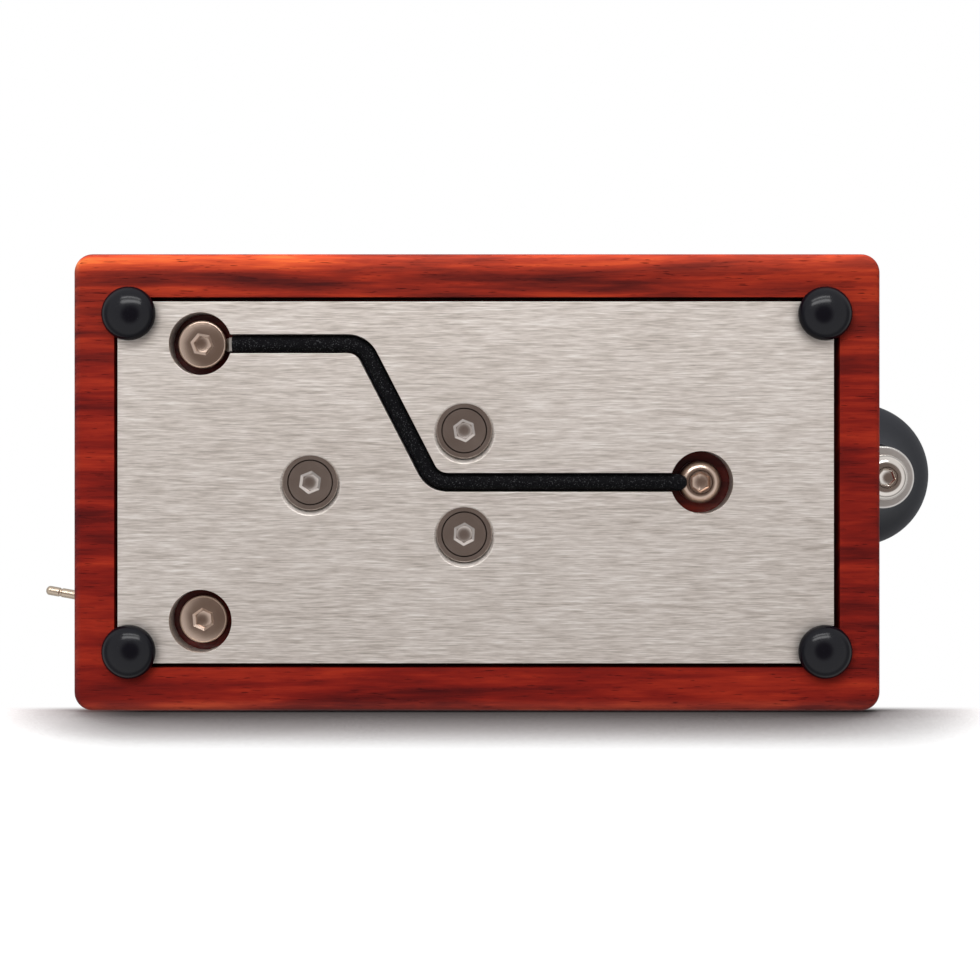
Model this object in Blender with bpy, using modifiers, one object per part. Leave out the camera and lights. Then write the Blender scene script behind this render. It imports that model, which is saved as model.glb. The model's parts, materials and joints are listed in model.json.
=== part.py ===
# Straight telegraph key: a wooden base with a steel weight plate below, and above it a lever that rocks
# on pointed pivots in a steel frame, between a contact at the front and an adjustable stop at the rear.
#
# Metres, +Z up, +X towards the knob. Left is the -Y side, right is the +Y side, as the operator sees them.
# The feet stand on z = 0, and the origin lies under the middle of the whole key.

import math

import bmesh
import bpy
from mathutils import Matrix, Vector

# Clearances and shared fits
FIT = 0.0003                    # gap between two pieces that touch
OVERRUN = 0.001                 # how far a cutter runs past the face that it opens
WELD = 0.00001                  # points closer than this are one point
EDGE_SHARE = 0.25               # broken edge of a thin disc, as a share of its thickness

# Wooden base
BASE_LENGTH = 0.120
BASE_WIDTH = 0.068
BASE_HEIGHT = 0.020
BASE_CORNER_RADIUS = 0.00275
BASE_EDGE_RADIUS = 0.0015

# Steel plate let into the underside
RIM_END_WIDTH = 0.0061          # wood left round the recess, front and rear
RIM_SIDE_WIDTH = 0.00625        # wood left round the recess, left and right
PLATE_GAP = 0.0005              # shadow gap between plate and wood
PLATE_THICKNESS = 0.004
PLATE_CORNER_RADIUS = 0.002
PLATE_HOLE_DIAMETER = 0.0093    # the three clearance holes round the fixed heads

# Rubber feet
FOOT_DIAMETER = 0.008
FOOT_HEIGHT = 0.003
FOOT_FLAT_DIAMETER = 0.0034
FOOT_END_INSET = 0.0085         # from the base's ends to the foot's middle
FOOT_SIDE_INSET = 0.009         # from the base's sides to the foot's middle

# Places along and across the base
PIVOT_X = -0.0019               # lever pivot, from the middle of the base
CONTACT_ARM = 0.0353            # pivot to the front contact
TENSION_ARM = 0.0115            # pivot to the spring stud
FRAME_SCREW_ARM = 0.0229        # pivot to the rear screw of the frame
GAP_SCREW_ARM = 0.0271          # pivot to the gap screw
KNOB_OVERHANG = 0.0085          # knob axis beyond the base's front end
TERMINAL_END_INSET = 0.0189     # from the base's rear end to the terminals
TERMINAL_SIDE_INSET = 0.0134    # from the base's sides to the terminals

# Screws
SCREW_DIAMETER = 0.004          # shank of every screw that comes up through the base
SOCKET_SIZE = 0.0026            # hex sockets, across flats
SOCKET_DEPTH = 0.0012
SUNK_HEAD_DIAMETER = 0.0083
SUNK_HEAD_RECESS = 0.00015      # flat face of a countersunk head below the plate's face
SINK_CLEARANCE = 0.00035        # countersink wider than its head, on the radius
FRAME_SCREW_SPACING = 0.0154    # between the two front screws of the frame
FRAME_SCREW_COVER = 0.001       # metal left above the frame's screws

# Terminal studs and their fittings
TERMINAL_HEAD_DIAMETER = 0.0072
TERMINAL_HEAD_HEIGHT = 0.0017
TERMINAL_HEAD_CHAMFER = 0.0002
STUD_RISE = 0.0025              # stud above the raised thumb nut
COLLAR_DIAMETER = 0.010
COLLAR_HEIGHT = 0.004
WASHER_DIAMETER = 0.009
WASHER_THICKNESS = 0.0008
TERMINAL_NUT_DIAMETER = 0.010
TERMINAL_NUT_HEIGHT = 0.005
NUT_NECK_HEIGHT = 0.0018        # plain neck below the knurled band of a thumb nut
NUT_NECK_INSET = 0.0012         # how far the neck stands back from the band
TURNED_CHAMFER = 0.0004         # broken edges of turned pieces

# Connection pin clamped on the right terminal
PIN_DIAMETER = 0.0015
PIN_LENGTH = 0.036
PIN_TAIL = 0.006                # pin beyond the stud, towards the front
PIN_ANGLE = math.radians(10)    # turned outwards from the key's length

# Front contact
CONTACT_HEAD_DIAMETER = 0.0065
CONTACT_HEAD_HEIGHT = 0.0019
BUTTON_FLAT_SHARE = 0.5         # flat middle of a domed head, as a share of its diameter
CONTACT_SCREW_BITE = 0.006      # thread inside the post
POST_DIAMETER = 0.008
POST_FLANGE_DIAMETER = 0.011
POST_FLANGE_HEIGHT = 0.002
SILVER_DIAMETER = 0.005
SILVER_THICKNESS = 0.001
SILVER_STEM_DIAMETER = 0.0025
SILVER_STEM_LENGTH = 0.002
CONTACT_GAP = 0.0008            # travel of the lever's contact, as the gap screw is set

# Wire in the plate's slot, and its lugs
WIRE_DIAMETER = 0.0022
WIRE_RECESS = 0.0005            # wire below the plate's face
WIRE_BEND_RADIUS = 0.0035
WIRE_REAR_BEND_X = -0.0171      # where the two straight runs meet the slanted one
WIRE_FRONT_BEND_X = -0.0065
LUG_RING_DIAMETER = 0.0064
LUG_THICKNESS = 0.0006
LUG_TAB_THICKNESS = 0.001
LUG_TAB_WIDTH = 0.0022

# Link strip in the base's top
STRIP_WIDTH = 0.009
STRIP_THICKNESS = 0.0008

# Bearing frame
FRAME_THICKNESS = 0.005
FRAME_FRONT_LENGTH = 0.016
FRAME_CORNER_RADIUS = 0.002
FRAME_CHAMFER = 0.0005
TONGUE_WIDTH = 0.014
TONGUE_TAIL = 0.005             # tongue behind the gap screw
CHEEK_THICKNESS = 0.0062
CHEEK_LENGTH = 0.012
CHEEK_SIDE_GAP = 0.0005         # between the lever and each cheek
STUD_FLOOR = 0.0012             # metal left below the spring stud

# Lever
LEVER_LIFT = 0.012              # lever's underside above the base
LEVER_WIDTH = 0.01056
LEVER_HEIGHT = 0.008
LEVER_FRONT_HEIGHT = 0.0055
LEVER_CHAMFER = 0.0004
TAPER_START = 0.008             # from the pivot forward to where the top slopes down
TAPER_END = 0.057               # from the pivot forward to where the slope ends

# Pivot
AXLE_DIAMETER = 0.004
AXLE_REACH = 0.0008             # straight part of the axle beyond the lever's side
AXLE_POINT_LENGTH = 0.0024
AXLE_TIP_DIAMETER = 0.0006
PIVOT_SCREW_DIAMETER = 0.005
PIVOT_SCREW_INSET = 0.0006      # cupped end behind the cheek's inner face
PIVOT_HEAD_DIAMETER = 0.009
PIVOT_HEAD_LENGTH = 0.0035
PIVOT_NUT_SIZE = 0.008          # across flats
PIVOT_NUT_THICKNESS = 0.0025

# Gap screw and rear stop
GAP_HEAD_DIAMETER = 0.010
GAP_HEAD_HEIGHT = 0.004
GAP_TIP_RADIUS_SHARE = 0.5      # rounded tip, as a share of the shank's radius
LOCK_NUT_DIAMETER = 0.010
LOCK_NUT_HEIGHT = 0.0025
ANVIL_DIAMETER = 0.006
ANVIL_HEIGHT = 0.0015
ANVIL_STEM_DIAMETER = 0.003
ANVIL_STEM_LENGTH = 0.0025

# Return spring and its adjuster
STUD_DIAMETER = 0.004
STUD_PLAY = 0.0007              # between the stud and the lever's hole, for the lever to rock
SPRING_DIAMETER = 0.007
SPRING_WIRE = 0.0007
SPRING_LENGTH = 0.009
SPRING_END_PITCH = 0.0012       # of the closed curls at its two ends
SPRING_CURLS = 6
CLOSED_CURLS = 1                # at each end
POINTS_PER_CURL = 9
SEAT_DEPTH = 0.001              # spring seat sunk in the lever's top
SEAT_CLEARANCE = 0.0005
CUP_ROOF = 0.001
CUP_SKIRT = 0.0015
CUP_WALL = 0.0008
TENSION_NUT_DIAMETER = 0.011
TENSION_NUT_HEIGHT = 0.005
TENSION_STUD_RISE = 0.002       # stud above the tension nut

# Knob
KNOB_DIAMETER = 0.0258
KNOB_HEIGHT = 0.020
KNOB_SCREW_BITE = 0.010         # screw inside the knob
KNOB_HEAD_DIAMETER = 0.0077
KNOB_HEAD_HEIGHT = 0.0022
# The knob's outer side from the middle of its crown to its foot: shares of its radius and of its height.
KNOB_PROFILE_SHARES = (
    (0.00, 1.000), (0.30, 0.992), (0.55, 0.970), (0.76, 0.925), (0.90, 0.855), (0.975, 0.770),
    (1.00, 0.675), (0.97, 0.595), (0.87, 0.520), (0.72, 0.440), (0.58, 0.340), (0.49, 0.220),
    (0.45, 0.100), (0.45, 0.000),
)

# Facets
ROUND_STEPS = 24
SMALL_STEPS = 16
PIN_STEPS = 12
PIN_END_STEPS = 3
KNOB_STEPS = 40
CORNER_STEPS = 5
EDGE_STEPS = 3
BEND_STEPS = 5
END_ARC_STEPS = 10
HEXAGON = 6
SHARP_ANGLE = math.radians(35)

# Heights, from the floor up
base_bottom = FOOT_HEIGHT + FIT
base_top = base_bottom + BASE_HEIGHT
recess_top = base_bottom + PLATE_THICKNESS + FIT
frame_bottom = base_top + FIT
frame_top = frame_bottom + FRAME_THICKNESS
lever_bottom = base_top + LEVER_LIFT
lever_top = lever_bottom + LEVER_HEIGHT
lever_front_top = lever_bottom + LEVER_FRONT_HEIGHT
pivot_z = lever_bottom + LEVER_HEIGHT / 2
lug_top = recess_top - FIT
lug_bottom = lug_top - LUG_THICKNESS
wire_z = base_bottom + WIRE_RECESS + WIRE_DIAMETER / 2
lever_contact_face = lever_bottom - FIT - SILVER_THICKNESS
contact_disc_top = lever_contact_face - CONTACT_GAP - FIT
post_top = contact_disc_top - SILVER_THICKNESS - FIT
collar_top = base_top + FIT + COLLAR_HEIGHT
pin_z = collar_top + FIT + PIN_DIAMETER / 2
anvil_top = frame_top + FIT + ANVIL_HEIGHT
seat_z = lever_top - SEAT_DEPTH
spring_bottom = seat_z + FIT
spring_top = spring_bottom + SPRING_LENGTH
cup_bottom = spring_top + FIT
tension_nut_bottom = cup_bottom + CUP_ROOF + FIT
lock_nut_bottom = lever_top + FIT
gap_head_bottom = lock_nut_bottom + LOCK_NUT_HEIGHT + FIT
knob_bottom = lever_front_top + FIT

# Places along the key, from the middle of the base
contact_x = PIVOT_X + CONTACT_ARM
tension_x = PIVOT_X - TENSION_ARM
frame_screw_x = PIVOT_X - FRAME_SCREW_ARM
gap_screw_x = PIVOT_X - GAP_SCREW_ARM
knob_x = BASE_LENGTH / 2 + KNOB_OVERHANG
terminal_x = TERMINAL_END_INSET - BASE_LENGTH / 2
lever_rear = gap_screw_x - LEVER_WIDTH / 2
lever_front = knob_x + LEVER_WIDTH / 2

# Places across the key
LEFT = -1
RIGHT = 1
cheek_inside = LEVER_WIDTH / 2 + CHEEK_SIDE_GAP
cheek_outside = cheek_inside + CHEEK_THICKNESS
terminal_y = BASE_WIDTH / 2 - TERMINAL_SIDE_INSET

# Radii that several pieces share
screw_radius = SCREW_DIAMETER / 2
screw_hole = SCREW_DIAMETER + 2 * FIT
lug_tab_near = max(TERMINAL_HEAD_DIAMETER, CONTACT_HEAD_DIAMETER) / 2 + FIT
lug_tab_far = lug_tab_near + LUG_TAB_THICKNESS

# The pin runs beside the stud, and the key reaches from its rear tip to the knob
pin_direction = Vector((math.cos(PIN_ANGLE), math.sin(PIN_ANGLE), 0))
pin_outwards = Vector((-pin_direction.y, pin_direction.x, 0))
pin_offset = screw_radius + FIT + PIN_DIAMETER / 2
pin_beside_stud = Vector((terminal_x, terminal_y, pin_z)) + pin_outwards * pin_offset
pin_tail_end = pin_beside_stud + pin_direction * PIN_TAIL
pin_tip = pin_tail_end - pin_direction * PIN_LENGTH
middle_x = (knob_x + KNOB_DIAMETER / 2 + pin_tip.x) / 2


# Scene and helpers

for old_object in list(bpy.data.objects):
    bpy.data.objects.remove(old_object, do_unlink=True)

key_parts = bpy.data.collections.new("telegraph_key")
cutters = bpy.data.collections.new("cutters")
for collection in (key_parts, cutters):
    bpy.context.scene.collection.children.link(collection)


def axis_empty(name, location, parent=None):
    """An empty that marks the key's datum or a joint's axis."""
    empty = bpy.data.objects.new(name, None)
    empty.empty_display_size = PIVOT_SCREW_DIAMETER
    empty.location = location
    empty.parent = parent
    key_parts.objects.link(empty)
    return empty


datum = axis_empty("key_datum", (-middle_x, 0, 0))
lever_axis = axis_empty("lever_axis", (PIVOT_X, 0, pivot_z), datum)


def add_object(name, data, location=(0, 0, 0), rotation=(0, 0, 0)):
    """Link new data to the key, placed from the middle of the base."""
    obj = bpy.data.objects.new(name, data)
    obj.location = location
    obj.rotation_euler = rotation
    obj.parent = datum
    key_parts.objects.link(obj)
    return obj


def settle(obj):
    """Replace a curve or a modified mesh by its welded, smoothly shaded mesh."""
    bpy.context.view_layer.update()
    evaluated = obj.evaluated_get(bpy.context.evaluated_depsgraph_get())
    mesh = bpy.data.meshes.new_from_object(evaluated)
    shape = bmesh.new()
    shape.from_mesh(mesh)
    bmesh.ops.remove_doubles(shape, verts=shape.verts, dist=WELD)
    bmesh.ops.recalc_face_normals(shape, faces=shape.faces)
    shape.to_mesh(mesh)
    shape.free()
    mesh.shade_smooth()
    mesh.set_sharp_from_angle(angle=SHARP_ANGLE)
    name, location, rotation = obj.name, obj.location.copy(), obj.rotation_euler.copy()
    bpy.data.objects.remove(obj, do_unlink=True)
    return add_object(name, mesh, location, rotation)


def turned(name, profile, steps=SMALL_STEPS, location=(0, 0, 0), rotation=(0, 0, 0)):
    """Turn a profile of (radius, height) points, given down the outer side, about Z."""
    mesh = bpy.data.meshes.new(name)
    edges = [(index, index + 1) for index in range(len(profile) - 1)]
    if profile[0][0] > 0:
        edges.append((len(profile) - 1, 0))
    mesh.from_pydata([(radius, 0, height) for radius, height in profile], edges, [])
    obj = add_object(name, mesh, location, rotation)
    screw = obj.modifiers.new("Turn", "SCREW")
    screw.steps = steps
    screw.render_steps = steps
    screw.use_merge_vertices = True
    screw.merge_threshold = WELD
    return settle(obj)


def flat_shape(name, outlines, thickness, location=(0, 0, 0), rotation=(0, 0, 0), chamfer=0):
    """Fill an outline, with any holes inside it, and give it a thickness up from its own z = 0."""
    curve = bpy.data.curves.new(name, "CURVE")
    curve.dimensions = "2D"
    curve.fill_mode = "BOTH"
    curve.extrude = thickness / 2
    for outline in outlines:
        spline = curve.splines.new("POLY")
        spline.points.add(len(outline) - 1)
        for point, (x, y) in zip(spline.points, outline):
            point.co = (x, y, 0, 1)
        spline.use_cyclic_u = True
    obj = settle(add_object(name, curve, location, rotation))
    obj.data.transform(Matrix.Translation((0, 0, thickness / 2)))
    if chamfer:
        add_bevel(obj, chamfer)
        obj = settle(obj)
    return obj


def add_bevel(obj, width, segments=1):
    """Break or round every edge that is sharper than a corner's facets."""
    bevel = obj.modifiers.new("Edges", "BEVEL")
    bevel.width = width
    bevel.segments = segments
    bevel.limit_method = "ANGLE"
    bevel.angle_limit = SHARP_ANGLE
    return bevel


def make_cutter(obj):
    """Keep a shape out of the render and out of the built parts."""
    key_parts.objects.unlink(obj)
    cutters.objects.link(obj)
    obj.hide_render = True
    obj.display_type = "WIRE"
    return obj


def combine(target, other, operation="DIFFERENCE"):
    """Cut, join or intersect a piece with a shape that then stays as a hidden cutter."""
    make_cutter(other)
    boolean = target.modifiers.new(other.name, "BOOLEAN")
    boolean.operation = operation
    boolean.solver = "EXACT"
    boolean.object = other
    return target


def round_cutter(name, diameter, start, end, steps=SMALL_STEPS):
    """A round bar from one point to another."""
    start, end = Vector(start), Vector(end)
    mesh = bpy.data.meshes.new(name)
    shape = bmesh.new()
    bmesh.ops.create_cone(
        shape, cap_ends=True, segments=steps, radius1=diameter / 2, radius2=diameter / 2,
        depth=(end - start).length,
    )
    shape.to_mesh(mesh)
    shape.free()
    turn = (end - start).to_track_quat("Z", "Y").to_euler()
    return add_object(name, mesh, (start + end) / 2, turn)


def box(name, low, high):
    """A block between two corners."""
    low, high = Vector(low), Vector(high)
    mesh = bpy.data.meshes.new(name)
    shape = bmesh.new()
    bmesh.ops.create_cube(shape, size=1)
    bmesh.ops.scale(shape, vec=high - low, verts=shape.verts)
    shape.to_mesh(mesh)
    shape.free()
    return add_object(name, mesh, (low + high) / 2)


def drill(target, diameter, start, end):
    """Cut a round hole from one point to another."""
    return combine(target, round_cutter(target.name + "_hole", diameter, start, end))


def drill_up(target, diameter, x, y, low, high):
    """Cut an upright round hole."""
    return drill(target, diameter, (x, y, low), (x, y, high))


def arc(center, radius, start, end, steps):
    """Points along an arc, both ends included."""
    angles = [start + (end - start) * index / steps for index in range(steps + 1)]
    return [(center[0] + radius * math.cos(angle), center[1] + radius * math.sin(angle)) for angle in angles]


def circle(center, diameter, steps=SMALL_STEPS):
    """Points round a circle."""
    return arc(center, diameter / 2, 0, 2 * math.pi, steps)[:-1]


def across_corners(across_flats):
    """A hexagon's width over its corners."""
    return across_flats / math.cos(math.pi / HEXAGON)


def quarter_angles(steps):
    """Evenly spaced angles from zero to a right angle."""
    return [math.pi / 2 * index / steps for index in range(steps + 1)]


def rounded_rectangle(length, width, radius):
    """A rectangle about the middle, with round corners."""
    half_length, half_width = length / 2 - radius, width / 2 - radius
    outline = []
    for quarter, (sign_x, sign_y) in enumerate(((1, 1), (-1, 1), (-1, -1), (1, -1))):
        start = quarter * math.pi / 2
        center = (sign_x * half_length, sign_y * half_width)
        outline += arc(center, radius, start, start + math.pi / 2, CORNER_STEPS)
    return outline


def stadium(first, second, width, steps=END_ARC_STEPS):
    """A bar of one width with round ends about two points."""
    first, second = Vector(first), Vector(second)
    heading = math.atan2(second.y - first.y, second.x - first.x)
    quarter = math.pi / 2
    front = arc(second, width / 2, heading - quarter, heading + quarter, steps)
    rear = arc(first, width / 2, heading + quarter, heading + 3 * quarter, steps)
    return front + rear


def filleted_route(corners, radius):
    """A flat route through corner points, with an arc of one radius at each bend."""
    route = [Vector(corners[0])]
    for before, corner, after in zip(corners, corners[1:], corners[2:]):
        corner = Vector(corner)
        back = (Vector(before) - corner).normalized()
        ahead = (Vector(after) - corner).normalized()
        half_angle = back.angle(ahead) / 2
        center = corner + (back + ahead).normalized() * (radius / math.sin(half_angle))
        first = corner + back * (radius / math.tan(half_angle)) - center
        last = corner + ahead * (radius / math.tan(half_angle)) - center
        start = math.atan2(first.y, first.x)
        sweep = (math.atan2(last.y, last.x) - start + math.pi) % (2 * math.pi) - math.pi
        route += [Vector(point) for point in arc(center, radius, start, start + sweep, BEND_STEPS)]
    route.append(Vector(corners[-1]))
    return route


def ribbon(route, width):
    """The outline of a band of one width along a flat route."""
    left_side, right_side = [], []
    for index, point in enumerate(route):
        before = route[max(index - 1, 0)]
        after = route[min(index + 1, len(route) - 1)]
        heading = (after - before).normalized()
        side = Vector((-heading.y, heading.x)) * (width / 2)
        left_side.append(tuple(point + side))
        right_side.append(tuple(point - side))
    return left_side + right_side[::-1]


def tube(name, points, diameter):
    """A round wire along its points."""
    curve = bpy.data.curves.new(name, "CURVE")
    curve.dimensions = "3D"
    curve.bevel_depth = diameter / 2
    curve.bevel_resolution = 1
    curve.use_fill_caps = True
    spline = curve.splines.new("POLY")
    spline.points.add(len(points) - 1)
    for place, point in zip(spline.points, points):
        place.co = (*point, 1)
    return settle(add_object(name, curve))


def hex_socket(target, x, y, face, depth=SOCKET_DEPTH):
    """Sink a hex socket up into a screw head whose face is at the given height."""
    name = target.name + "_socket"
    start, end = (x, y, face - OVERRUN), (x, y, face + depth)
    return combine(target, round_cutter(name, across_corners(SOCKET_SIZE), start, end, HEXAGON))


def ride(obj, axis):
    """Hang a piece on a joint's axis, where it already lies."""
    obj.location = obj.location - axis.location
    obj.parent = axis
    return obj


# Finishes

def finish(name, color, roughness, metallic):
    """A material with one colour, roughness and metallic value."""
    material = bpy.data.materials.new(name)
    material.use_nodes = True
    shader = material.node_tree.nodes["Principled BSDF"]
    shader.inputs["Base Color"].default_value = (*color, 1)
    shader.inputs["Roughness"].default_value = roughness
    shader.inputs["Metallic"].default_value = metallic
    material.diffuse_color = (*color, 1)
    return material


RED_WOOD = finish("red_wood", (0.32, 0.035, 0.018), 0.45, 0)
BRUSHED_STEEL = finish("brushed_steel", (0.55, 0.52, 0.49), 0.35, 1)
POLISHED_STEEL = finish("polished_steel", (0.66, 0.62, 0.58), 0.15, 1)
BRIGHT_STEEL = finish("bright_steel", (0.60, 0.57, 0.54), 0.25, 1)
BLACK_RUBBER = finish("black_rubber", (0.02, 0.02, 0.022), 0.25, 0)
BLACK_PLASTIC = finish("black_plastic", (0.045, 0.046, 0.05), 0.4, 0)
BLACK_SLEEVE = finish("black_sleeve", (0.012, 0.012, 0.016), 0.6, 0)
YELLOW_BRASS = finish("yellow_brass", (0.70, 0.48, 0.18), 0.22, 1)
TINNED_COPPER = finish("tinned_copper", (0.62, 0.60, 0.58), 0.3, 1)
SILVER = finish("silver", (0.80, 0.78, 0.74), 0.2, 1)


def dress(obj, material):
    """Give a piece its finish."""
    obj.data.materials.clear()
    obj.data.materials.append(material)
    return obj


# Profiles that several turned pieces share

def ring_profile(outer_diameter, bore, low, high, chamfer=TURNED_CHAMFER):
    """A washer or plain nut: round, bored through, with its outer edges broken."""
    outer, inner = outer_diameter / 2, bore / 2
    return [
        (inner, high), (outer - chamfer, high), (outer, high - chamfer),
        (outer, low + chamfer), (outer - chamfer, low), (inner, low),
    ]


def thumb_nut_profile(diameter, bore, low, height):
    """A thumb nut: a wide band for the knurl on a narrower neck."""
    outer, inner = diameter / 2, bore / 2
    neck = outer - NUT_NECK_INSET
    band_low, high = low + NUT_NECK_HEIGHT, low + height
    return [
        (inner, high), (outer - TURNED_CHAMFER, high), (outer, high - TURNED_CHAMFER),
        (outer, band_low + TURNED_CHAMFER), (outer - TURNED_CHAMFER, band_low), (neck, band_low),
        (neck, low), (inner, low),
    ]


def button_head_profile(head_diameter, head_height, shank_top):
    """A domed screw, head down, with the head's seat at z = 0: shank, seat, dome and flat face."""
    head, flat = head_diameter / 2, head_diameter / 2 * BUTTON_FLAT_SHARE
    rim = head_height * (1 - BUTTON_FLAT_SHARE) / 2
    dome = [
        (flat + (head - flat) * math.cos(angle), -rim - (head_height - rim) * math.sin(angle))
        for angle in quarter_angles(CORNER_STEPS)
    ]
    tip = screw_radius - TURNED_CHAMFER
    return [(0, shank_top), (tip, shank_top), (screw_radius, shank_top - TURNED_CHAMFER), (screw_radius, 0),
            (head, 0), *dome, (0, -head_height)]


def silver_rivet_profile():
    """A contact rivet with its face at z = 0 and its stem upwards."""
    face, stem = SILVER_DIAMETER / 2, SILVER_STEM_DIAMETER / 2
    edge = SILVER_THICKNESS * EDGE_SHARE
    top = SILVER_THICKNESS + SILVER_STEM_LENGTH
    return [(0, top), (stem, top), (stem, SILVER_THICKNESS), (face, SILVER_THICKNESS), (face, edge),
            (face - edge, 0), (0, 0)]


# Base, plate and feet

def make_base_block():
    outline = rounded_rectangle(BASE_LENGTH, BASE_WIDTH, BASE_CORNER_RADIUS)
    block = flat_shape("base_block", [outline], BASE_HEIGHT, (0, 0, base_bottom))
    add_bevel(block, BASE_EDGE_RADIUS, EDGE_STEPS)
    block = settle(block)
    recess = rounded_rectangle(
        BASE_LENGTH - 2 * RIM_END_WIDTH, BASE_WIDTH - 2 * RIM_SIDE_WIDTH, PLATE_CORNER_RADIUS + PLATE_GAP)
    recess_low = base_bottom - OVERRUN
    combine(block, flat_shape("plate_recess", [recess], recess_top - recess_low, (0, 0, recess_low)))
    hole_low, hole_high = recess_top - OVERRUN, base_top + OVERRUN
    for x, y in screw_places():
        drill_up(block, screw_hole, x, y, hole_low, hole_high)
    groove_low = base_top - STRIP_THICKNESS - FIT
    groove = stadium((terminal_x, terminal_y), (frame_screw_x, 0), STRIP_WIDTH + 2 * FIT)
    combine(block, flat_shape("strip_groove", [groove], base_top + OVERRUN - groove_low, (0, 0, groove_low)))
    return dress(block, RED_WOOD)


def frame_screw_places():
    return {
        "frame_screw_rear": (frame_screw_x, 0),
        "frame_screw_left": (PIVOT_X, LEFT * FRAME_SCREW_SPACING / 2),
        "frame_screw_right": (PIVOT_X, RIGHT * FRAME_SCREW_SPACING / 2),
    }


def screw_places():
    """Every place where a screw comes up through the base."""
    fixed = [(terminal_x, LEFT * terminal_y), (terminal_x, RIGHT * terminal_y), (contact_x, 0)]
    return list(frame_screw_places().values()) + fixed


def wire_corners():
    """The wire's route over the plate, from the left terminal to the front contact."""
    return [(terminal_x, LEFT * terminal_y), (WIRE_REAR_BEND_X, LEFT * terminal_y), (WIRE_FRONT_BEND_X, 0),
            (contact_x, 0)]


def sunk_head_reach():
    """Height of a countersunk head's cone, cut at 90 degrees."""
    return (SUNK_HEAD_DIAMETER - SCREW_DIAMETER) / 2


def make_base_plate():
    length = BASE_LENGTH - 2 * (RIM_END_WIDTH + PLATE_GAP)
    width = BASE_WIDTH - 2 * (RIM_SIDE_WIDTH + PLATE_GAP)
    outlines = [rounded_rectangle(length, width, PLATE_CORNER_RADIUS)]
    plate = flat_shape("base_plate", outlines, PLATE_THICKNESS, (0, 0, base_bottom))
    low, high = base_bottom - OVERRUN, base_bottom + PLATE_THICKNESS + OVERRUN
    slot = ribbon(filleted_route(wire_corners(), WIRE_BEND_RADIUS), WIRE_DIAMETER + 2 * FIT)
    combine(plate, flat_shape("wire_slot", [slot], high - low, (0, 0, low)))
    for x, y in screw_places()[-3:]:
        drill_up(plate, PLATE_HOLE_DIAMETER, x, y, low, high)
    shank = screw_hole / 2
    mouth = SUNK_HEAD_DIAMETER / 2 + SUNK_HEAD_RECESS + SINK_CLEARANCE + OVERRUN
    countersink = [(0, high), (shank, high), (shank, low + mouth - shank), (mouth, low), (0, low)]
    for name, (x, y) in frame_screw_places().items():
        combine(plate, turned(name + "_sink", countersink, SMALL_STEPS, (x, y, 0)))
    return dress(plate, BRUSHED_STEEL)


def make_feet():
    radius, flat = FOOT_DIAMETER / 2, FOOT_FLAT_DIAMETER / 2
    dome = [
        (flat + (radius - flat) * math.cos(angle), FOOT_HEIGHT * (1 - math.sin(angle)))
        for angle in quarter_angles(CORNER_STEPS)
    ]
    profile = [(0, FOOT_HEIGHT), *dome, (0, 0)]
    reach_x = BASE_LENGTH / 2 - FOOT_END_INSET
    reach_y = BASE_WIDTH / 2 - FOOT_SIDE_INSET
    for end, sign_x in (("front", 1), ("rear", -1)):
        for side, sign_y in (("left", LEFT), ("right", RIGHT)):
            place = (sign_x * reach_x, sign_y * reach_y, 0)
            dress(turned("foot_" + end + "_" + side, profile, SMALL_STEPS, place), BLACK_RUBBER)


# Screws through the base

def make_frame_screws():
    face = base_bottom + SUNK_HEAD_RECESS
    head = SUNK_HEAD_DIAMETER / 2
    top = frame_top - FRAME_SCREW_COVER - FIT
    profile = [
        (0, top), (screw_radius - TURNED_CHAMFER, top), (screw_radius, top - TURNED_CHAMFER),
        (screw_radius, face + sunk_head_reach()), (head, face), (0, face),
    ]
    for name, (x, y) in frame_screw_places().items():
        screw = dress(turned(name, profile, SMALL_STEPS, (x, y, 0)), BRIGHT_STEEL)
        hex_socket(screw, x, y, face)


def terminal_washer_bottom(side):
    """The washer lies on the collar, or on the pin where there is one."""
    return collar_top + FIT if side == LEFT else pin_z + PIN_DIAMETER / 2 + FIT


def terminal_nut_bottom(side):
    return terminal_washer_bottom(side) + WASHER_THICKNESS + FIT


def stud_top():
    return terminal_nut_bottom(RIGHT) + TERMINAL_NUT_HEIGHT + STUD_RISE


def make_terminal(side_name, side):
    """A terminal: its stud from below, collar, washer and thumb nut."""
    y = side * terminal_y
    seat = lug_bottom - FIT if side == LEFT else recess_top - FIT
    face = seat - TERMINAL_HEAD_HEIGHT
    head = TERMINAL_HEAD_DIAMETER / 2
    top = stud_top()
    profile = [
        (0, top), (screw_radius - TURNED_CHAMFER, top), (screw_radius, top - TURNED_CHAMFER),
        (screw_radius, seat), (head, seat), (head, face + TERMINAL_HEAD_CHAMFER),
        (head - TERMINAL_HEAD_CHAMFER, face), (0, face),
    ]
    place = (terminal_x, y, 0)
    stud = dress(turned("terminal_screw_" + side_name, profile, SMALL_STEPS, place), POLISHED_STEEL)
    hex_socket(stud, terminal_x, y, face)
    collar = ring_profile(COLLAR_DIAMETER, screw_hole, base_top + FIT, collar_top)
    dress(turned("terminal_collar_" + side_name, collar, ROUND_STEPS, place), YELLOW_BRASS)
    low = terminal_washer_bottom(side)
    edge = WASHER_THICKNESS * EDGE_SHARE
    washer = ring_profile(WASHER_DIAMETER, screw_hole, low, low + WASHER_THICKNESS, edge)
    dress(turned("terminal_washer_" + side_name, washer, SMALL_STEPS, place), YELLOW_BRASS)
    nut = thumb_nut_profile(TERMINAL_NUT_DIAMETER, screw_hole, 0, TERMINAL_NUT_HEIGHT)
    nut_place = (terminal_x, y, terminal_nut_bottom(side))
    dress(turned("terminal_nut_" + side_name, nut, ROUND_STEPS, nut_place), YELLOW_BRASS)


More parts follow.
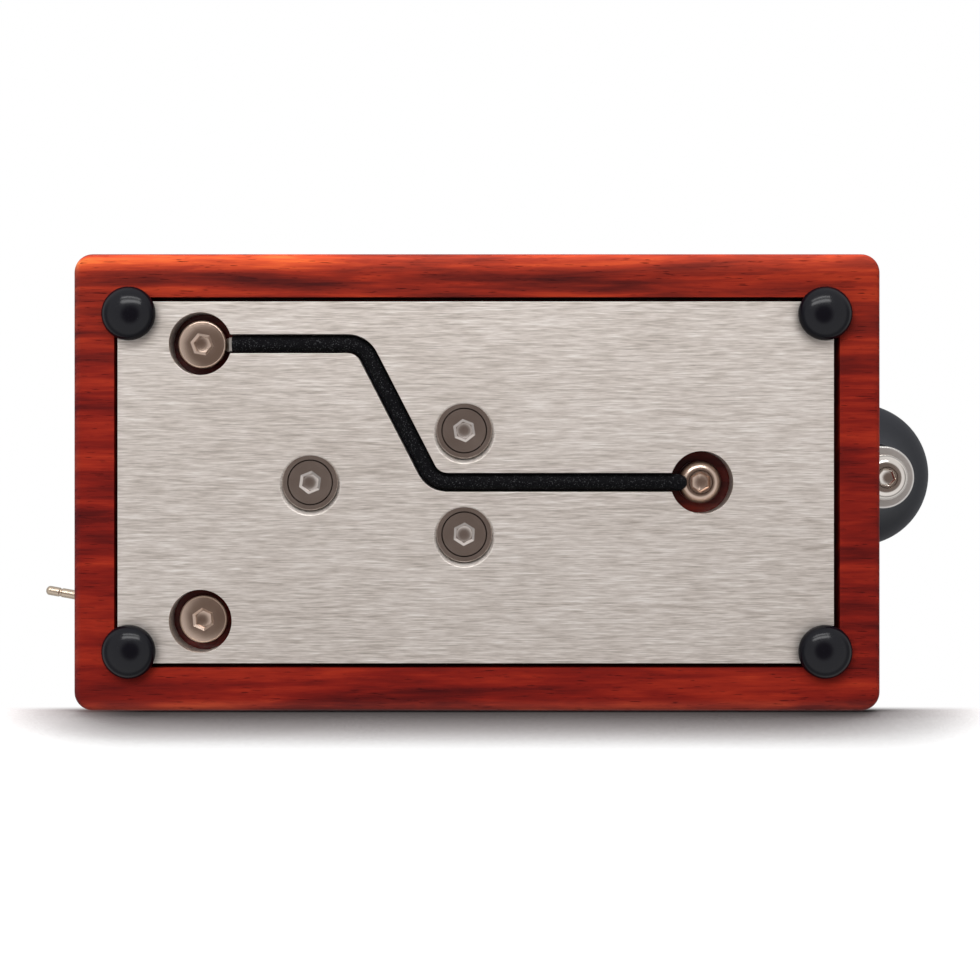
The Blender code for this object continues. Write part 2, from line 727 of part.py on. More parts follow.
def make_connection_pin():
    radius = PIN_DIAMETER / 2
    dome = [
        (radius * math.sin(angle), radius * (1 - math.cos(angle)))
        for angle in quarter_angles(PIN_END_STEPS)
    ]
    upper = [(reach, PIN_LENGTH - height) for reach, height in dome]
    profile = upper + dome[::-1]
    turn = pin_direction.to_track_quat("Z", "Y").to_euler()
    return dress(turned("connection_pin", profile, PIN_STEPS, pin_tip, turn), POLISHED_STEEL)


def make_front_contact():
    seat = lug_bottom - FIT
    post_bottom = base_top + FIT
    screw_top = post_bottom + CONTACT_SCREW_BITE
    profile = button_head_profile(CONTACT_HEAD_DIAMETER, CONTACT_HEAD_HEIGHT, screw_top - seat)
    screw = dress(turned("contact_screw", profile, SMALL_STEPS, (contact_x, 0, seat)), POLISHED_STEEL)
    hex_socket(screw, contact_x, 0, seat - CONTACT_HEAD_HEIGHT)

    body, flange = POST_DIAMETER / 2, POST_FLANGE_DIAMETER / 2
    flange_top = post_bottom + POST_FLANGE_HEIGHT
    stem_hole = SILVER_STEM_DIAMETER / 2 + FIT
    stem_floor = post_top - SILVER_STEM_LENGTH
    bore, bore_top = screw_hole / 2, screw_top + FIT
    profile = [
        (0, stem_floor), (stem_hole, stem_floor), (stem_hole, post_top), (body - TURNED_CHAMFER, post_top),
        (body, post_top - TURNED_CHAMFER), (body, flange_top + TURNED_CHAMFER),
        (body + TURNED_CHAMFER, flange_top), (flange - TURNED_CHAMFER, flange_top),
        (flange, flange_top - TURNED_CHAMFER), (flange, post_bottom),
        (bore, post_bottom), (bore, bore_top), (0, bore_top),
    ]
    dress(turned("contact_post", profile, ROUND_STEPS, (contact_x, 0, 0)), YELLOW_BRASS)

    upside_down = (math.pi, 0, 0)
    place = (contact_x, 0, contact_disc_top)
    dress(turned("contact_disc", silver_rivet_profile(), SMALL_STEPS, place, upside_down), SILVER)


# Wire, lugs and strip

def make_link_wire():
    corners = [Vector(corner) for corner in wire_corners()]
    end_gap = lug_tab_far + FIT
    corners[0].x += end_gap
    corners[-1].x -= end_gap
    route = filleted_route([tuple(corner) for corner in corners], WIRE_BEND_RADIUS)
    points = [(point.x, point.y, wire_z) for point in route]
    return dress(tube("link_wire", points, WIRE_DIAMETER), BLACK_SLEEVE)


def make_lug(name, x, y, heading):
    """A ring lug under a screw head, with its tab bent down to the wire's end."""
    ring = LUG_RING_DIAMETER / 2
    half_tab = LUG_TAB_WIDTH / 2
    spread = math.asin(half_tab / ring)
    outline = arc((0, 0), ring, spread, 2 * math.pi - spread, ROUND_STEPS)
    outline += [(lug_tab_far, -half_tab), (lug_tab_far, half_tab)]
    place = (x, y, lug_bottom)
    turn = (0, 0, heading)
    lug = flat_shape(name, [outline, circle((0, 0), screw_hole)], LUG_THICKNESS, place, turn)
    near, far = sorted((x + math.cos(heading) * lug_tab_near, x + math.cos(heading) * lug_tab_far))
    tab_low = wire_z - WIRE_DIAMETER / 2
    tab = box(name + "_tab", (near, y - half_tab, tab_low), (far, y + half_tab, lug_top))
    combine(lug, tab, "UNION")
    return dress(settle(lug), TINNED_COPPER)


def make_link_strip():
    first, second = (terminal_x, terminal_y), (frame_screw_x, 0)
    outlines = [stadium(first, second, STRIP_WIDTH), circle(first, screw_hole), circle(second, screw_hole)]
    strip = flat_shape("link_strip", outlines, STRIP_THICKNESS, (0, 0, base_top - STRIP_THICKNESS))
    return dress(strip, YELLOW_BRASS)


# Bearing frame

def cheek_outline():
    """A cheek from the side: straight flanks up to the pivot, and a round top about it."""
    half = CHEEK_LENGTH / 2
    top = arc((PIVOT_X, pivot_z), half, 0, math.pi, END_ARC_STEPS)
    foot = frame_top - OVERRUN
    return [(PIVOT_X + half, foot), *top, (PIVOT_X - half, foot)]


def frame_outline():
    """The frame's foot from above: a broad front under the cheeks and a narrow tongue to the rear."""
    front = PIVOT_X + FRAME_FRONT_LENGTH / 2
    rear = PIVOT_X - FRAME_FRONT_LENGTH / 2
    quarter = math.pi / 2
    broad, narrow, corner = cheek_outside, TONGUE_WIDTH / 2, FRAME_CORNER_RADIUS
    tongue_center = (gap_screw_x - TONGUE_TAIL + narrow, 0)
    outline = arc((front - corner, broad - corner), corner, 0, quarter, CORNER_STEPS)
    outline += arc((rear + corner, broad - corner), corner, quarter, 2 * quarter, CORNER_STEPS)
    outline += [(rear, narrow)]
    outline += arc(tongue_center, narrow, quarter, 3 * quarter, END_ARC_STEPS)
    outline += [(rear, -narrow)]
    outline += arc((rear + corner, -broad + corner), corner, 2 * quarter, 3 * quarter, CORNER_STEPS)
    outline += arc((front - corner, -broad + corner), corner, 3 * quarter, 4 * quarter, CORNER_STEPS)
    return outline


def make_bearing_frame():
    upright = (math.pi / 2, 0, 0)
    place = (0, 0, frame_bottom)
    frame = flat_shape("bearing_frame", [frame_outline()], FRAME_THICKNESS, place, chamfer=FRAME_CHAMFER)
    for side, near_y in (("left", -cheek_inside), ("right", cheek_outside)):
        cheek = flat_shape(
            "cheek_" + side, [cheek_outline()], CHEEK_THICKNESS, (0, near_y, 0), upright, FRAME_CHAMFER)
        combine(frame, cheek, "UNION")
    reach = cheek_outside + OVERRUN
    drill(frame, PIVOT_SCREW_DIAMETER + 2 * FIT, (PIVOT_X, -reach, pivot_z), (PIVOT_X, reach, pivot_z))
    for x, y in frame_screw_places().values():
        drill_up(frame, screw_hole, x, y, frame_bottom - OVERRUN, frame_top - FRAME_SCREW_COVER)
    drill_up(frame, STUD_DIAMETER + 2 * FIT, tension_x, 0, frame_bottom + STUD_FLOOR, frame_top + OVERRUN)
    stem_floor = frame_top - ANVIL_STEM_LENGTH - FIT
    drill_up(frame, ANVIL_STEM_DIAMETER + 2 * FIT, gap_screw_x, 0, stem_floor, frame_top + OVERRUN)
    return dress(frame, BRUSHED_STEEL)


def make_anvil():
    radius, stem = ANVIL_DIAMETER / 2, ANVIL_STEM_DIAMETER / 2
    low = frame_top + FIT
    stem_low = frame_top - ANVIL_STEM_LENGTH
    edge = ANVIL_HEIGHT * EDGE_SHARE
    profile = [
        (0, anvil_top), (radius - edge, anvil_top), (radius, anvil_top - edge), (radius, low),
        (stem, low), (stem, stem_low), (0, stem_low),
    ]
    return dress(turned("anvil", profile, SMALL_STEPS, (gap_screw_x, 0, 0)), POLISHED_STEEL)


# Lever and what it carries

def lever_side_outline():
    """The lever from the side: flat below, its top sloping down to a thinner front."""
    return [
        (lever_rear, lever_bottom), (lever_front, lever_bottom), (lever_front, lever_front_top),
        (PIVOT_X + TAPER_END, lever_front_top), (PIVOT_X + TAPER_START, lever_top), (lever_rear, lever_top),
    ]


def make_lever():
    upright = (math.pi / 2, 0, 0)
    lever = flat_shape("lever", [lever_side_outline()], LEVER_WIDTH + 2 * OVERRUN,
                       (0, LEVER_WIDTH / 2 + OVERRUN, 0), upright)
    plan = stadium((gap_screw_x, 0), (knob_x, 0), LEVER_WIDTH)
    low, high = lever_bottom - OVERRUN, lever_top + OVERRUN
    combine(lever, flat_shape("lever_plan", [plan], high - low, (0, 0, low)), "INTERSECT")
    lever = settle(lever)
    add_bevel(lever, LEVER_CHAMFER)
    lever = settle(lever)
    drill_up(lever, screw_hole, gap_screw_x, 0, low, high)
    drill_up(lever, STUD_DIAMETER + 2 * STUD_PLAY, tension_x, 0, low, high)
    drill_up(lever, SPRING_DIAMETER + 2 * SEAT_CLEARANCE, tension_x, 0, seat_z, high)
    drill_up(lever, screw_hole, knob_x, 0, low, high)
    stem_top = lever_bottom + SILVER_STEM_LENGTH
    drill_up(lever, SILVER_STEM_DIAMETER + 2 * FIT, contact_x, 0, low, stem_top)
    reach = LEVER_WIDTH / 2 + OVERRUN
    drill(lever, AXLE_DIAMETER + 2 * FIT, (PIVOT_X, -reach, pivot_z), (PIVOT_X, reach, pivot_z))
    ride(lever, lever_axis)
    return dress(lever, BRUSHED_STEEL)


def axle_shoulder():
    """Where the axle's straight part ends and its point begins, from the middle."""
    return LEVER_WIDTH / 2 + AXLE_REACH


def make_lever_axle():
    radius, tip = AXLE_DIAMETER / 2, AXLE_TIP_DIAMETER / 2
    shoulder = axle_shoulder()
    end = shoulder + AXLE_POINT_LENGTH
    profile = [(0, end), (tip, end), (radius, shoulder), (radius, -shoulder), (tip, -end), (0, -end)]
    place = (PIVOT_X, 0, pivot_z)
    axle = turned("lever_axle", profile, SMALL_STEPS, place, (math.pi / 2, 0, 0))
    return dress(ride(axle, lever_axis), POLISHED_STEEL)


def make_lever_contact():
    place = (contact_x, 0, lever_contact_face)
    rivet = turned("lever_contact", silver_rivet_profile(), SMALL_STEPS, place)
    return dress(ride(rivet, lever_axis), SILVER)


def make_knob():
    radius, bore = KNOB_DIAMETER / 2, screw_hole / 2
    bore_top = KNOB_SCREW_BITE + FIT
    outer = [(share_r * radius, share_h * KNOB_HEIGHT) for share_r, share_h in KNOB_PROFILE_SHARES]
    profile = outer + [(bore, 0), (bore, bore_top), (0, bore_top)]
    knob = turned("knob", profile, KNOB_STEPS, (knob_x, 0, knob_bottom))
    return dress(ride(knob, lever_axis), BLACK_PLASTIC)


def make_knob_screw():
    seat = lever_bottom - FIT
    profile = button_head_profile(KNOB_HEAD_DIAMETER, KNOB_HEAD_HEIGHT, knob_bottom + KNOB_SCREW_BITE - seat)
    screw = turned("knob_screw", profile, SMALL_STEPS, (knob_x, 0, seat))
    hex_socket(screw, knob_x, 0, seat - KNOB_HEAD_HEIGHT)
    return dress(ride(screw, lever_axis), POLISHED_STEEL)


# Pivot screws

def pivot_screw_profile():
    """A trunnion screw along +Z: a cupped inner end, the shank and a head outside the lock nut."""
    shank, head = PIVOT_SCREW_DIAMETER / 2, PIVOT_HEAD_DIAMETER / 2
    inner_end = cheek_inside + PIVOT_SCREW_INSET
    head_low = cheek_outside + FIT + PIVOT_NUT_THICKNESS + FIT
    head_high = head_low + PIVOT_HEAD_LENGTH
    slope = (AXLE_DIAMETER - AXLE_TIP_DIAMETER) / 2 / AXLE_POINT_LENGTH
    slack = FIT * math.sqrt(1 + slope * slope)
    mouth = AXLE_DIAMETER / 2 - (inner_end - axle_shoulder()) * slope + slack
    cup_end = axle_shoulder() + AXLE_POINT_LENGTH + FIT
    floor = mouth - (cup_end - inner_end) * slope
    return [
        (0, head_high), (head - TURNED_CHAMFER, head_high), (head, head_high - TURNED_CHAMFER),
        (head, head_low + TURNED_CHAMFER), (head - TURNED_CHAMFER, head_low), (shank, head_low),
        (shank, inner_end), (mouth, inner_end), (floor, cup_end), (0, cup_end),
    ]


def make_pivot_screws():
    outlines = [
        circle((0, 0), across_corners(PIVOT_NUT_SIZE), HEXAGON),
        circle((0, 0), PIVOT_SCREW_DIAMETER + 2 * FIT),
    ]
    place = (PIVOT_X, 0, pivot_z)
    for side_name, side in (("left", LEFT), ("right", RIGHT)):
        turn = (-side * math.pi / 2, 0, 0)
        screw = turned("pivot_screw_" + side_name, pivot_screw_profile(), SMALL_STEPS, place, turn)
        dress(screw, POLISHED_STEEL)
        nut_place = (PIVOT_X, side * (cheek_outside + FIT), pivot_z)
        nut = flat_shape("pivot_lock_nut_" + side_name, outlines, PIVOT_NUT_THICKNESS, nut_place, turn)
        dress(nut, BRIGHT_STEEL)


# Gap screw

def make_gap_screw():
    tip = anvil_top + FIT
    head = GAP_HEAD_DIAMETER / 2
    head_top = gap_head_bottom + GAP_HEAD_HEIGHT
    tip_radius = screw_radius * GAP_TIP_RADIUS_SHARE
    profile = [
        (0, head_top), (head - TURNED_CHAMFER, head_top), (head, head_top - TURNED_CHAMFER),
        (head, gap_head_bottom + TURNED_CHAMFER), (head - TURNED_CHAMFER, gap_head_bottom),
        (screw_radius, gap_head_bottom), (screw_radius, tip + TURNED_CHAMFER), (tip_radius, tip), (0, tip),
    ]
    screw = turned("gap_screw", profile, ROUND_STEPS, (gap_screw_x, 0, 0))
    dress(ride(screw, lever_axis), YELLOW_BRASS)
    nut = ring_profile(LOCK_NUT_DIAMETER, screw_hole, lock_nut_bottom, lock_nut_bottom + LOCK_NUT_HEIGHT)
    lock_nut = turned("gap_lock_nut", nut, ROUND_STEPS, (gap_screw_x, 0, 0))
    dress(ride(lock_nut, lever_axis), YELLOW_BRASS)


# Return spring

def spring_points():
    """The spring's centre line: closed end curls, open middle, and a straight run at each end."""
    radius = (SPRING_DIAMETER - SPRING_WIRE) / 2
    low = spring_bottom + SPRING_WIRE / 2
    rise = SPRING_LENGTH - SPRING_WIRE
    open_curls = SPRING_CURLS - 2 * CLOSED_CURLS
    open_pitch = (rise - 2 * CLOSED_CURLS * SPRING_END_PITCH) / open_curls
    points = []
    for index in range(SPRING_CURLS * POINTS_PER_CURL + 1):
        curl = index / POINTS_PER_CURL
        opened = min(max(curl - CLOSED_CURLS, 0), open_curls)
        height = opened * open_pitch + (curl - opened) * SPRING_END_PITCH
        angle = 2 * math.pi * curl
        points.append(Vector((tension_x + radius * math.cos(angle), radius * math.sin(angle), low + height)))
    first_heading = Vector((0, -SPRING_WIRE, 0))
    last_heading = Vector((0, SPRING_WIRE, 0))
    return [points[0] + first_heading, *points, points[-1] + last_heading]


def least_gap(points, diameter):
    """The smallest gap between stretches of one tube that aren't neighbours along it."""
    apart = POINTS_PER_CURL // 2
    gaps = [
        (points[first] - points[second]).length - diameter
        for first in range(len(points))
        for second in range(first + apart, len(points))
    ]
    return min(gaps)


def make_spring():
    points = spring_points()
    print(f"tension_spring least gap to itself: {least_gap(points, SPRING_WIRE):.6f} m")
    return dress(tube("tension_spring", points, SPRING_WIRE), BRIGHT_STEEL)


def make_tension_adjuster():
    place = (tension_x, 0, 0)
    radius = STUD_DIAMETER / 2
    low = frame_bottom + STUD_FLOOR + FIT
    high = tension_nut_bottom + TENSION_NUT_HEIGHT + TENSION_STUD_RISE
    tip = radius - TURNED_CHAMFER
    stud = [(0, high), (tip, high), (radius, high - TURNED_CHAMFER), (radius, low), (0, low)]
    dress(turned("tension_stud", stud, SMALL_STEPS, place), POLISHED_STEEL)

    bore = radius + FIT
    inside = SPRING_DIAMETER / 2 + FIT
    outside = inside + CUP_WALL
    roof = cup_bottom + CUP_ROOF
    skirt = cup_bottom - CUP_SKIRT
    cup = [(bore, roof), (outside - TURNED_CHAMFER, roof), (outside, roof - TURNED_CHAMFER), (outside, skirt),
           (inside, skirt), (inside, cup_bottom), (bore, cup_bottom)]
    dress(turned("spring_cup", cup, ROUND_STEPS, place), YELLOW_BRASS)

    nut = thumb_nut_profile(TENSION_NUT_DIAMETER, STUD_DIAMETER + 2 * FIT, 0, TENSION_NUT_HEIGHT)
    nut_place = (tension_x, 0, tension_nut_bottom)
    dress(turned("tension_nut", nut, ROUND_STEPS, nut_place), YELLOW_BRASS)


make_base_block()
make_base_plate()
make_feet()
make_frame_screws()
make_terminal("left", LEFT)
make_terminal("right", RIGHT)
make_connection_pin()
make_front_contact()
make_link_wire()
make_lug("lug_terminal", terminal_x, LEFT * terminal_y, 0)
make_lug("lug_contact", contact_x, 0, math.pi)
make_link_strip()
make_bearing_frame()
make_anvil()
make_lever()
make_lever_axle()
make_lever_contact()
make_knob()
make_knob_screw()
make_pivot_screws()
make_gap_screw()
make_spring()
make_tension_adjuster()
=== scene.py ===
# The looks of the straight telegraph key. Each piece is modelled in detail where its CAD node lies, rides on
# that node's body and has a procedural finish. The studio shows the key from below, as the photograph does.
#
# Metres, +Z up, +X towards the knob, left is -Y and right is +Y.

import json
import math

import bpy
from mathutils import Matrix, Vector


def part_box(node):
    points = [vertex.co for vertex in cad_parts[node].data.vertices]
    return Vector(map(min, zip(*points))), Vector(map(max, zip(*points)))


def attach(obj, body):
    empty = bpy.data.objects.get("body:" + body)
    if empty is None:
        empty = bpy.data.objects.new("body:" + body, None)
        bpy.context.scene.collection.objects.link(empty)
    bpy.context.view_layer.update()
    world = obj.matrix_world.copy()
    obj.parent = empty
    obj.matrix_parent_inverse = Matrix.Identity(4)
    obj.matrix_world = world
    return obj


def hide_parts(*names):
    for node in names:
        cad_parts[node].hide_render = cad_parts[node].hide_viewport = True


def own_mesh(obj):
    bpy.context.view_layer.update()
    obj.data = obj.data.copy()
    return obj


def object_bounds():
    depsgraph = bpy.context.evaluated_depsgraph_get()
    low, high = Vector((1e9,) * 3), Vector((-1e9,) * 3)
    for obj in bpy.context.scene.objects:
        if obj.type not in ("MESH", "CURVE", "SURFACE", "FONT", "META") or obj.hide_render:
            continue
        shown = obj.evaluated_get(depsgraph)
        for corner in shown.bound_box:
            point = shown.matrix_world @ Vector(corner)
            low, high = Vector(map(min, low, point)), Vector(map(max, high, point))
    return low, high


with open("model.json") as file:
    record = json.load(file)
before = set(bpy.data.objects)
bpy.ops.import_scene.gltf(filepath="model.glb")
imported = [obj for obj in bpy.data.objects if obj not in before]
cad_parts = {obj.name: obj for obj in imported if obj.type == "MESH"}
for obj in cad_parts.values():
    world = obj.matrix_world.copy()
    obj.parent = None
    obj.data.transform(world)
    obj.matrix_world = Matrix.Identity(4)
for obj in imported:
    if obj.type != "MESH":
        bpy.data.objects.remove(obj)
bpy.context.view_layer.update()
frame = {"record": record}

MM = 0.001
QUARTER = math.pi / 2
FIT = 0.3 * MM                  # gap between two pieces that touch, as in the CAD
WELD = 0.002 * MM               # points closer than this are one point
OVERRUN = 1 * MM                # how far a cutter runs past the face that it opens
COARSE, MEDIUM, FINE, FINER, FINEST = 32, 48, 64, 80, 96    # steps round a turned piece or a hole
SHARP = math.radians(32)
BODY_OF = {node: body for body, nodes in frame["record"]["behaviour"]["bodies"].items() for node in nodes}


# Workshop: selecting, shaping and finishing meshes

def deselect():
    """Leave edit mode, with nothing selected."""
    if bpy.context.object and bpy.context.object.mode == "EDIT":
        close_edit()
    bpy.ops.object.select_all(action="DESELECT")


def pick(piece):
    """Make one piece the only one selected."""
    deselect()
    piece.select_set(True)
    bpy.context.view_layer.objects.active = piece


def name_new(name):
    """Name the piece that an operator has just added."""
    piece = bpy.context.object
    piece.name = name
    piece.data.name = name
    return piece


def open_edit(piece, mode="VERT"):
    """Open a piece in edit mode with nothing selected."""
    pick(piece)
    bpy.ops.object.mode_set(mode="EDIT")
    bpy.ops.mesh.select_mode(type=mode)
    bpy.ops.mesh.select_all(action="DESELECT")


def close_edit():
    bpy.ops.object.mode_set(mode="OBJECT")


def select_all():
    bpy.ops.mesh.select_all(action="SELECT")


def select_points(piece, wanted):
    """Open a piece in edit mode with the points selected that a test picks by their place."""
    open_edit(piece)
    close_edit()
    for point in piece.data.vertices:
        point.select = wanted(point.co)
    bpy.ops.object.mode_set(mode="EDIT")


def select_edges(piece, wanted):
    """Open a piece in edit mode with the edges selected whose two ends pass a test."""
    open_edit(piece, "EDGE")
    close_edit()
    points = piece.data.vertices
    for edge in piece.data.edges:
        edge.select = wanted(*(points[index].co for index in edge.vertices))
    bpy.ops.object.mode_set(mode="EDIT")


def place(piece, location=(0, 0, 0), turn=(0, 0, 0)):
    """Turn and move a piece, and put its place into its mesh."""
    piece.rotation_euler = turn
    piece.location = location
    pick(piece)
    bpy.ops.object.transform_apply(location=True, rotation=True, scale=True)
    return piece


def apply_modifier(piece, kind, **settings):
    modifier = piece.modifiers.new(kind.title(), kind)
    for key, value in settings.items():
        setattr(modifier, key, value)
    pick(piece)
    bpy.ops.object.modifier_apply(modifier=modifier.name)
    return piece


def soften(piece, width, segments=2):
    """Round the sharp edges a little, as a file or a tumbler does."""
    return apply_modifier(
        piece, "BEVEL", width=width, segments=segments, limit_method="ANGLE", angle_limit=SHARP,
        use_clamp_overlap=True)


def combine(piece, other, operation="DIFFERENCE"):
    """Cut, join or intersect a piece with another, which is used up."""
    apply_modifier(piece, "BOOLEAN", operation=operation, solver="EXACT", object=other)
    bpy.data.objects.remove(other, do_unlink=True)
    return piece


def smooth(piece):
    """Shade a piece smooth across its curves and flat on its flats."""
    pick(piece)
    bpy.ops.object.shade_smooth_by_angle(angle=SHARP)
    apply_modifier(piece, "WEIGHTED_NORMAL", weight=50, keep_sharp=True)


def draw_line(name, points):
    """Draw an outline: a small plane is merged to one point, which is extruded through the rest."""
    deselect()
    bpy.ops.mesh.primitive_plane_add(size=MM)
    piece = name_new(name)
    open_edit(piece)
    select_all()
    bpy.ops.mesh.merge(type="CENTER")
    bpy.ops.transform.translate(value=points[0])
    for before, after in zip(points, points[1:]):
        step = [there - here for here, there in zip(before, after)]
        bpy.ops.mesh.extrude_vertices_move(TRANSFORM_OT_translate={"value": step})
    select_all()
    return piece


def weld():
    """Merge the doubles of the piece in edit mode."""
    select_all()
    bpy.ops.mesh.remove_doubles(threshold=WELD)


def face_outwards(piece):
    """Turn all faces outwards and leave edit mode."""
    select_all()
    bpy.ops.mesh.normals_make_consistent(inside=False)
    close_edit()
    return piece


def turned(name, profile, steps=FINE):
    """Spin a profile of (radius, height) points round Z, closing it where it starts off the axis."""
    points = [(radius, 0, height) for radius, height in profile]
    if profile[0][0] > 0:
        points.append(points[0])
    piece = draw_line(name, points)
    bpy.ops.mesh.spin(steps=steps, angle=math.tau, center=(0, 0, 0), axis=(0, 0, 1))
    weld()
    return face_outwards(piece)


def slab(name, outline, low, high):
    """Fill a flat outline and extrude it from one height to another."""
    piece = draw_line(name, [(x, y, low) for x, y in outline])
    bpy.ops.mesh.edge_face_add()
    bpy.ops.mesh.extrude_region_move(TRANSFORM_OT_translate={"value": (0, 0, high - low)})
    return face_outwards(piece)


def bar(name, radius, start, end, sides=FINE):
    """A round or many-sided bar from one point to another, for cutting."""
    start, end = Vector(start), Vector(end)
    deselect()
    bpy.ops.mesh.primitive_cylinder_add(
        vertices=sides, radius=radius, depth=(end - start).length, location=(start + end) / 2,
        rotation=(end - start).to_track_quat("Z", "Y").to_euler())
    return place(name_new(name), bpy.context.object.location, bpy.context.object.rotation_euler)


def block(name, low, high):
    """A block between two corners, for cutting or shaping."""
    low, high = Vector(low), Vector(high)
    deselect()
    bpy.ops.mesh.primitive_cube_add(size=1, location=(low + high) / 2, scale=high - low)
    return place(name_new(name), bpy.context.object.location)


def drill(piece, radius, spot, low, high, steps=MEDIUM):
    """Drill a hole straight through a piece at a place on the plan."""
    combine(piece, bar("drill", radius, (*spot, low), (*spot, high), steps))


def arc(center, radius, start, end, steps):
    """Points along an arc, both ends included."""
    angles = [start + (end - start) * index / steps for index in range(steps + 1)]
    return [(center[0] + radius * math.cos(angle), center[1] + radius * math.sin(angle)) for angle in angles]


def rounded_rectangle(center, length, width, radius, steps=12):
    """A rectangle with round corners."""
    outline = []
    for quarter, (sign_x, sign_y) in enumerate(((1, 1), (-1, 1), (-1, -1), (1, -1))):
        corner = (center[0] + sign_x * (length / 2 - radius), center[1] + sign_y * (width / 2 - radius))
        outline += arc(corner, radius, quarter * QUARTER, (quarter + 1) * QUARTER, steps)
    return outline


def stadium(first, second, width, steps=32):
    """A bar of one width with round ends about two points."""
    heading = math.atan2(second[1] - first[1], second[0] - first[0])
    return (arc(second, width / 2, heading - QUARTER, heading + QUARTER, steps)
            + arc(first, width / 2, heading + QUARTER, heading + 3 * QUARTER, steps))


# Finishes: a small language for procedural materials

class Shade:
    """A shader value. Python's operators on it add Math nodes."""

    def __init__(self, paint, socket):
        self.paint = paint
        self.socket = socket

    def __add__(self, other):
        return self.paint.math("ADD", self, other)

    def __sub__(self, other):
        return self.paint.math("SUBTRACT", self, other)

    def __rsub__(self, other):
        return self.paint.math("SUBTRACT", other, self)

    def __mul__(self, other):
        return self.paint.math("MULTIPLY", self, other)

    def __pow__(self, other):
        return self.paint.math("POWER", self, other)

    __radd__ = __add__
    __rmul__ = __mul__


class Paint:
    """A material or a world whose nodes are added one by one."""

    def __init__(self, owner):
        owner.use_nodes = True
        self.owner = owner
        self.nodes = owner.node_tree.nodes
        self.links = owner.node_tree.links

    def node(self, kind, settings=None, values=None, output=0):
        """Add a node, set it, fill its sockets with values or links, and give one of its outputs."""
        made = self.nodes.new("ShaderNode" + kind)
        for key, value in (settings or {}).items():
            if key == "stops":
                self.set_stops(made.color_ramp, value)
            else:
                setattr(made, key, value)
        for key, value in (values or {}).items():
            self.fill(made.inputs[key], value)
        return Shade(self, made.outputs[output])

    def fill(self, socket, value):
        if isinstance(value, Shade):
            self.links.new(value.socket, socket)
        elif isinstance(value, tuple) and socket.type == "RGBA":
            socket.default_value = (*value, 1)
        else:
            socket.default_value = value

    @staticmethod
    def set_stops(ramp, stops):
        while len(ramp.elements) < len(stops):
            ramp.elements.new(1)
        for element, (position, color) in zip(ramp.elements, stops):
            element.position = position
            element.color = (*color, 1)

    def math(self, operation, first, second):
        return self.node("Math", {"operation": operation}, {0: first, 1: second})

    def mix(self, first, second, share, blend="MIX"):
        """Blend two colours."""
        settings = {"data_type": "RGBA", "blend_type": blend}
        return self.node("Mix", settings, {0: share, 6: first, 7: second}, 2)

    def stain(self, color, other):
        """Multiply two colours."""
        return self.mix(color, other, 1.0, "MULTIPLY")

    def tint(self, color, shade):
        """Multiply a colour by a grey value."""
        return self.stain(color, self.node("CombineColor", None, {0: shade, 1: shade, 2: shade}))

    def ramp(self, value, stops):
        """Map a value to colours between stops."""
        return self.node("ValToRGB", {"stops": stops}, {0: value})

    def between(self, value, low, high):
        """0 below one value, 1 above another, and smooth between them."""
        return self.node("MapRange", {"interpolation_type": "SMOOTHSTEP"},
                         {0: value, 1: low, 2: high, 3: 0.0, 4: 1.0})

    def here(self):
        """The place on the object, in metres."""
        return self.node("TexCoord", None, None, "Object")

    def axis(self, name):
        """One coordinate of the place on the object."""
        return self.node("SeparateXYZ", None, {0: self.here()}, name)

    def noise(self, size, detail=3.0, roughness=0.5, distortion=0.0, spot=None):
        """Noise with grains of the given size in millimetres along each axis, on the object or a vector."""
        scale = tuple(1 / (MM * length) for length in size)
        spot = spot or self.here()
        grains = self.node("Mapping", {"vector_type": "POINT"}, {"Vector": spot, "Scale": scale})
        return self.node("TexNoise", None, {
            "Vector": grains, "Scale": 1.0, "Detail": detail, "Roughness": roughness,
            "Distortion": distortion})

    def bump(self, height, depth, strength=1.0):
        """Surface relief of a height pattern, whose depth is in metres."""
        return self.node("Bump", None, {"Height": height, "Distance": depth, "Strength": strength})


def finish(name, **sockets):
    """A material with its plain Principled values; its patterns are linked afterwards."""
    paint = Paint(bpy.data.materials.new(name))
    paint.shader = paint.nodes["Principled BSDF"]
    link(paint, **sockets)
    return paint


def link(paint, **sockets):
    """Set Principled sockets to values, or link patterns to those that may vary over a surface."""
    for key, value in sockets.items():
        paint.fill(paint.shader.inputs[key.replace("_", " ")], value)
    return paint.owner


WHITE = (1.0, 1.0, 1.0)
PITH_Y, PITH_Z = 60 * MM, -50 * MM      # the middle of the tree that the block was cut from
PITH_DISTANCE = 85 * MM
WOOD_TONES = (
    (0.32, (0.040, 0.0035, 0.0040)), (0.42, (0.100, 0.0065, 0.0052)), (0.51, (0.175, 0.0100, 0.0062)),
    (0.61, (0.270, 0.0190, 0.0085)), (0.74, (0.410, 0.0450, 0.0150)))
PORE_COLOR = (0.026, 0.002, 0.002)
PAINTED_LIGHT_ENDS = 3.6 * MM, 4.2 * MM           # heights between which the underside's painted light runs out
LACQUER_STARTS = 4.2 * MM, 6 * MM       # and between which the lacquer begins
LEFT_HALF = -34 * MM, -10 * MM          # places between which each painted light changes, from one side to the other
LEFT_EDGE = -33.6 * MM, -30.5 * MM
RIGHT_EDGE = 32.0 * MM, 33.4 * MM
REAR_EDGE = -64.9 * MM, -63.8 * MM
# Painted light on the underside, as colour factors: a lighter left half, a painted highlight on the left
# edge, painted reflections on the right and rear edges
LEFT_HALF_LIGHT, LEFT_EDGE_HIGHLIGHT, RIGHT_EDGE_REFLECTION, REAR_EDGE_REFLECTION = (
    (1.40, 1.95, 1.45), (1.90, 2.60, 2.60), (1.30, 2.60, 2.50), (0.85, 1.60, 2.30))
RECESS_SHADE_FROM, RECESS_SHADE_TO = (3.5 * MM, 4.6 * MM), (9 * MM, 11 * MM)        # heights of the painted shade in the plate's recess
RECESS_SHADE_HALF_WIDTH, RECESS_SHADE_HALF_LENGTH = (28.0 * MM, 28.4 * MM), (54.3 * MM, 54.7 * MM)
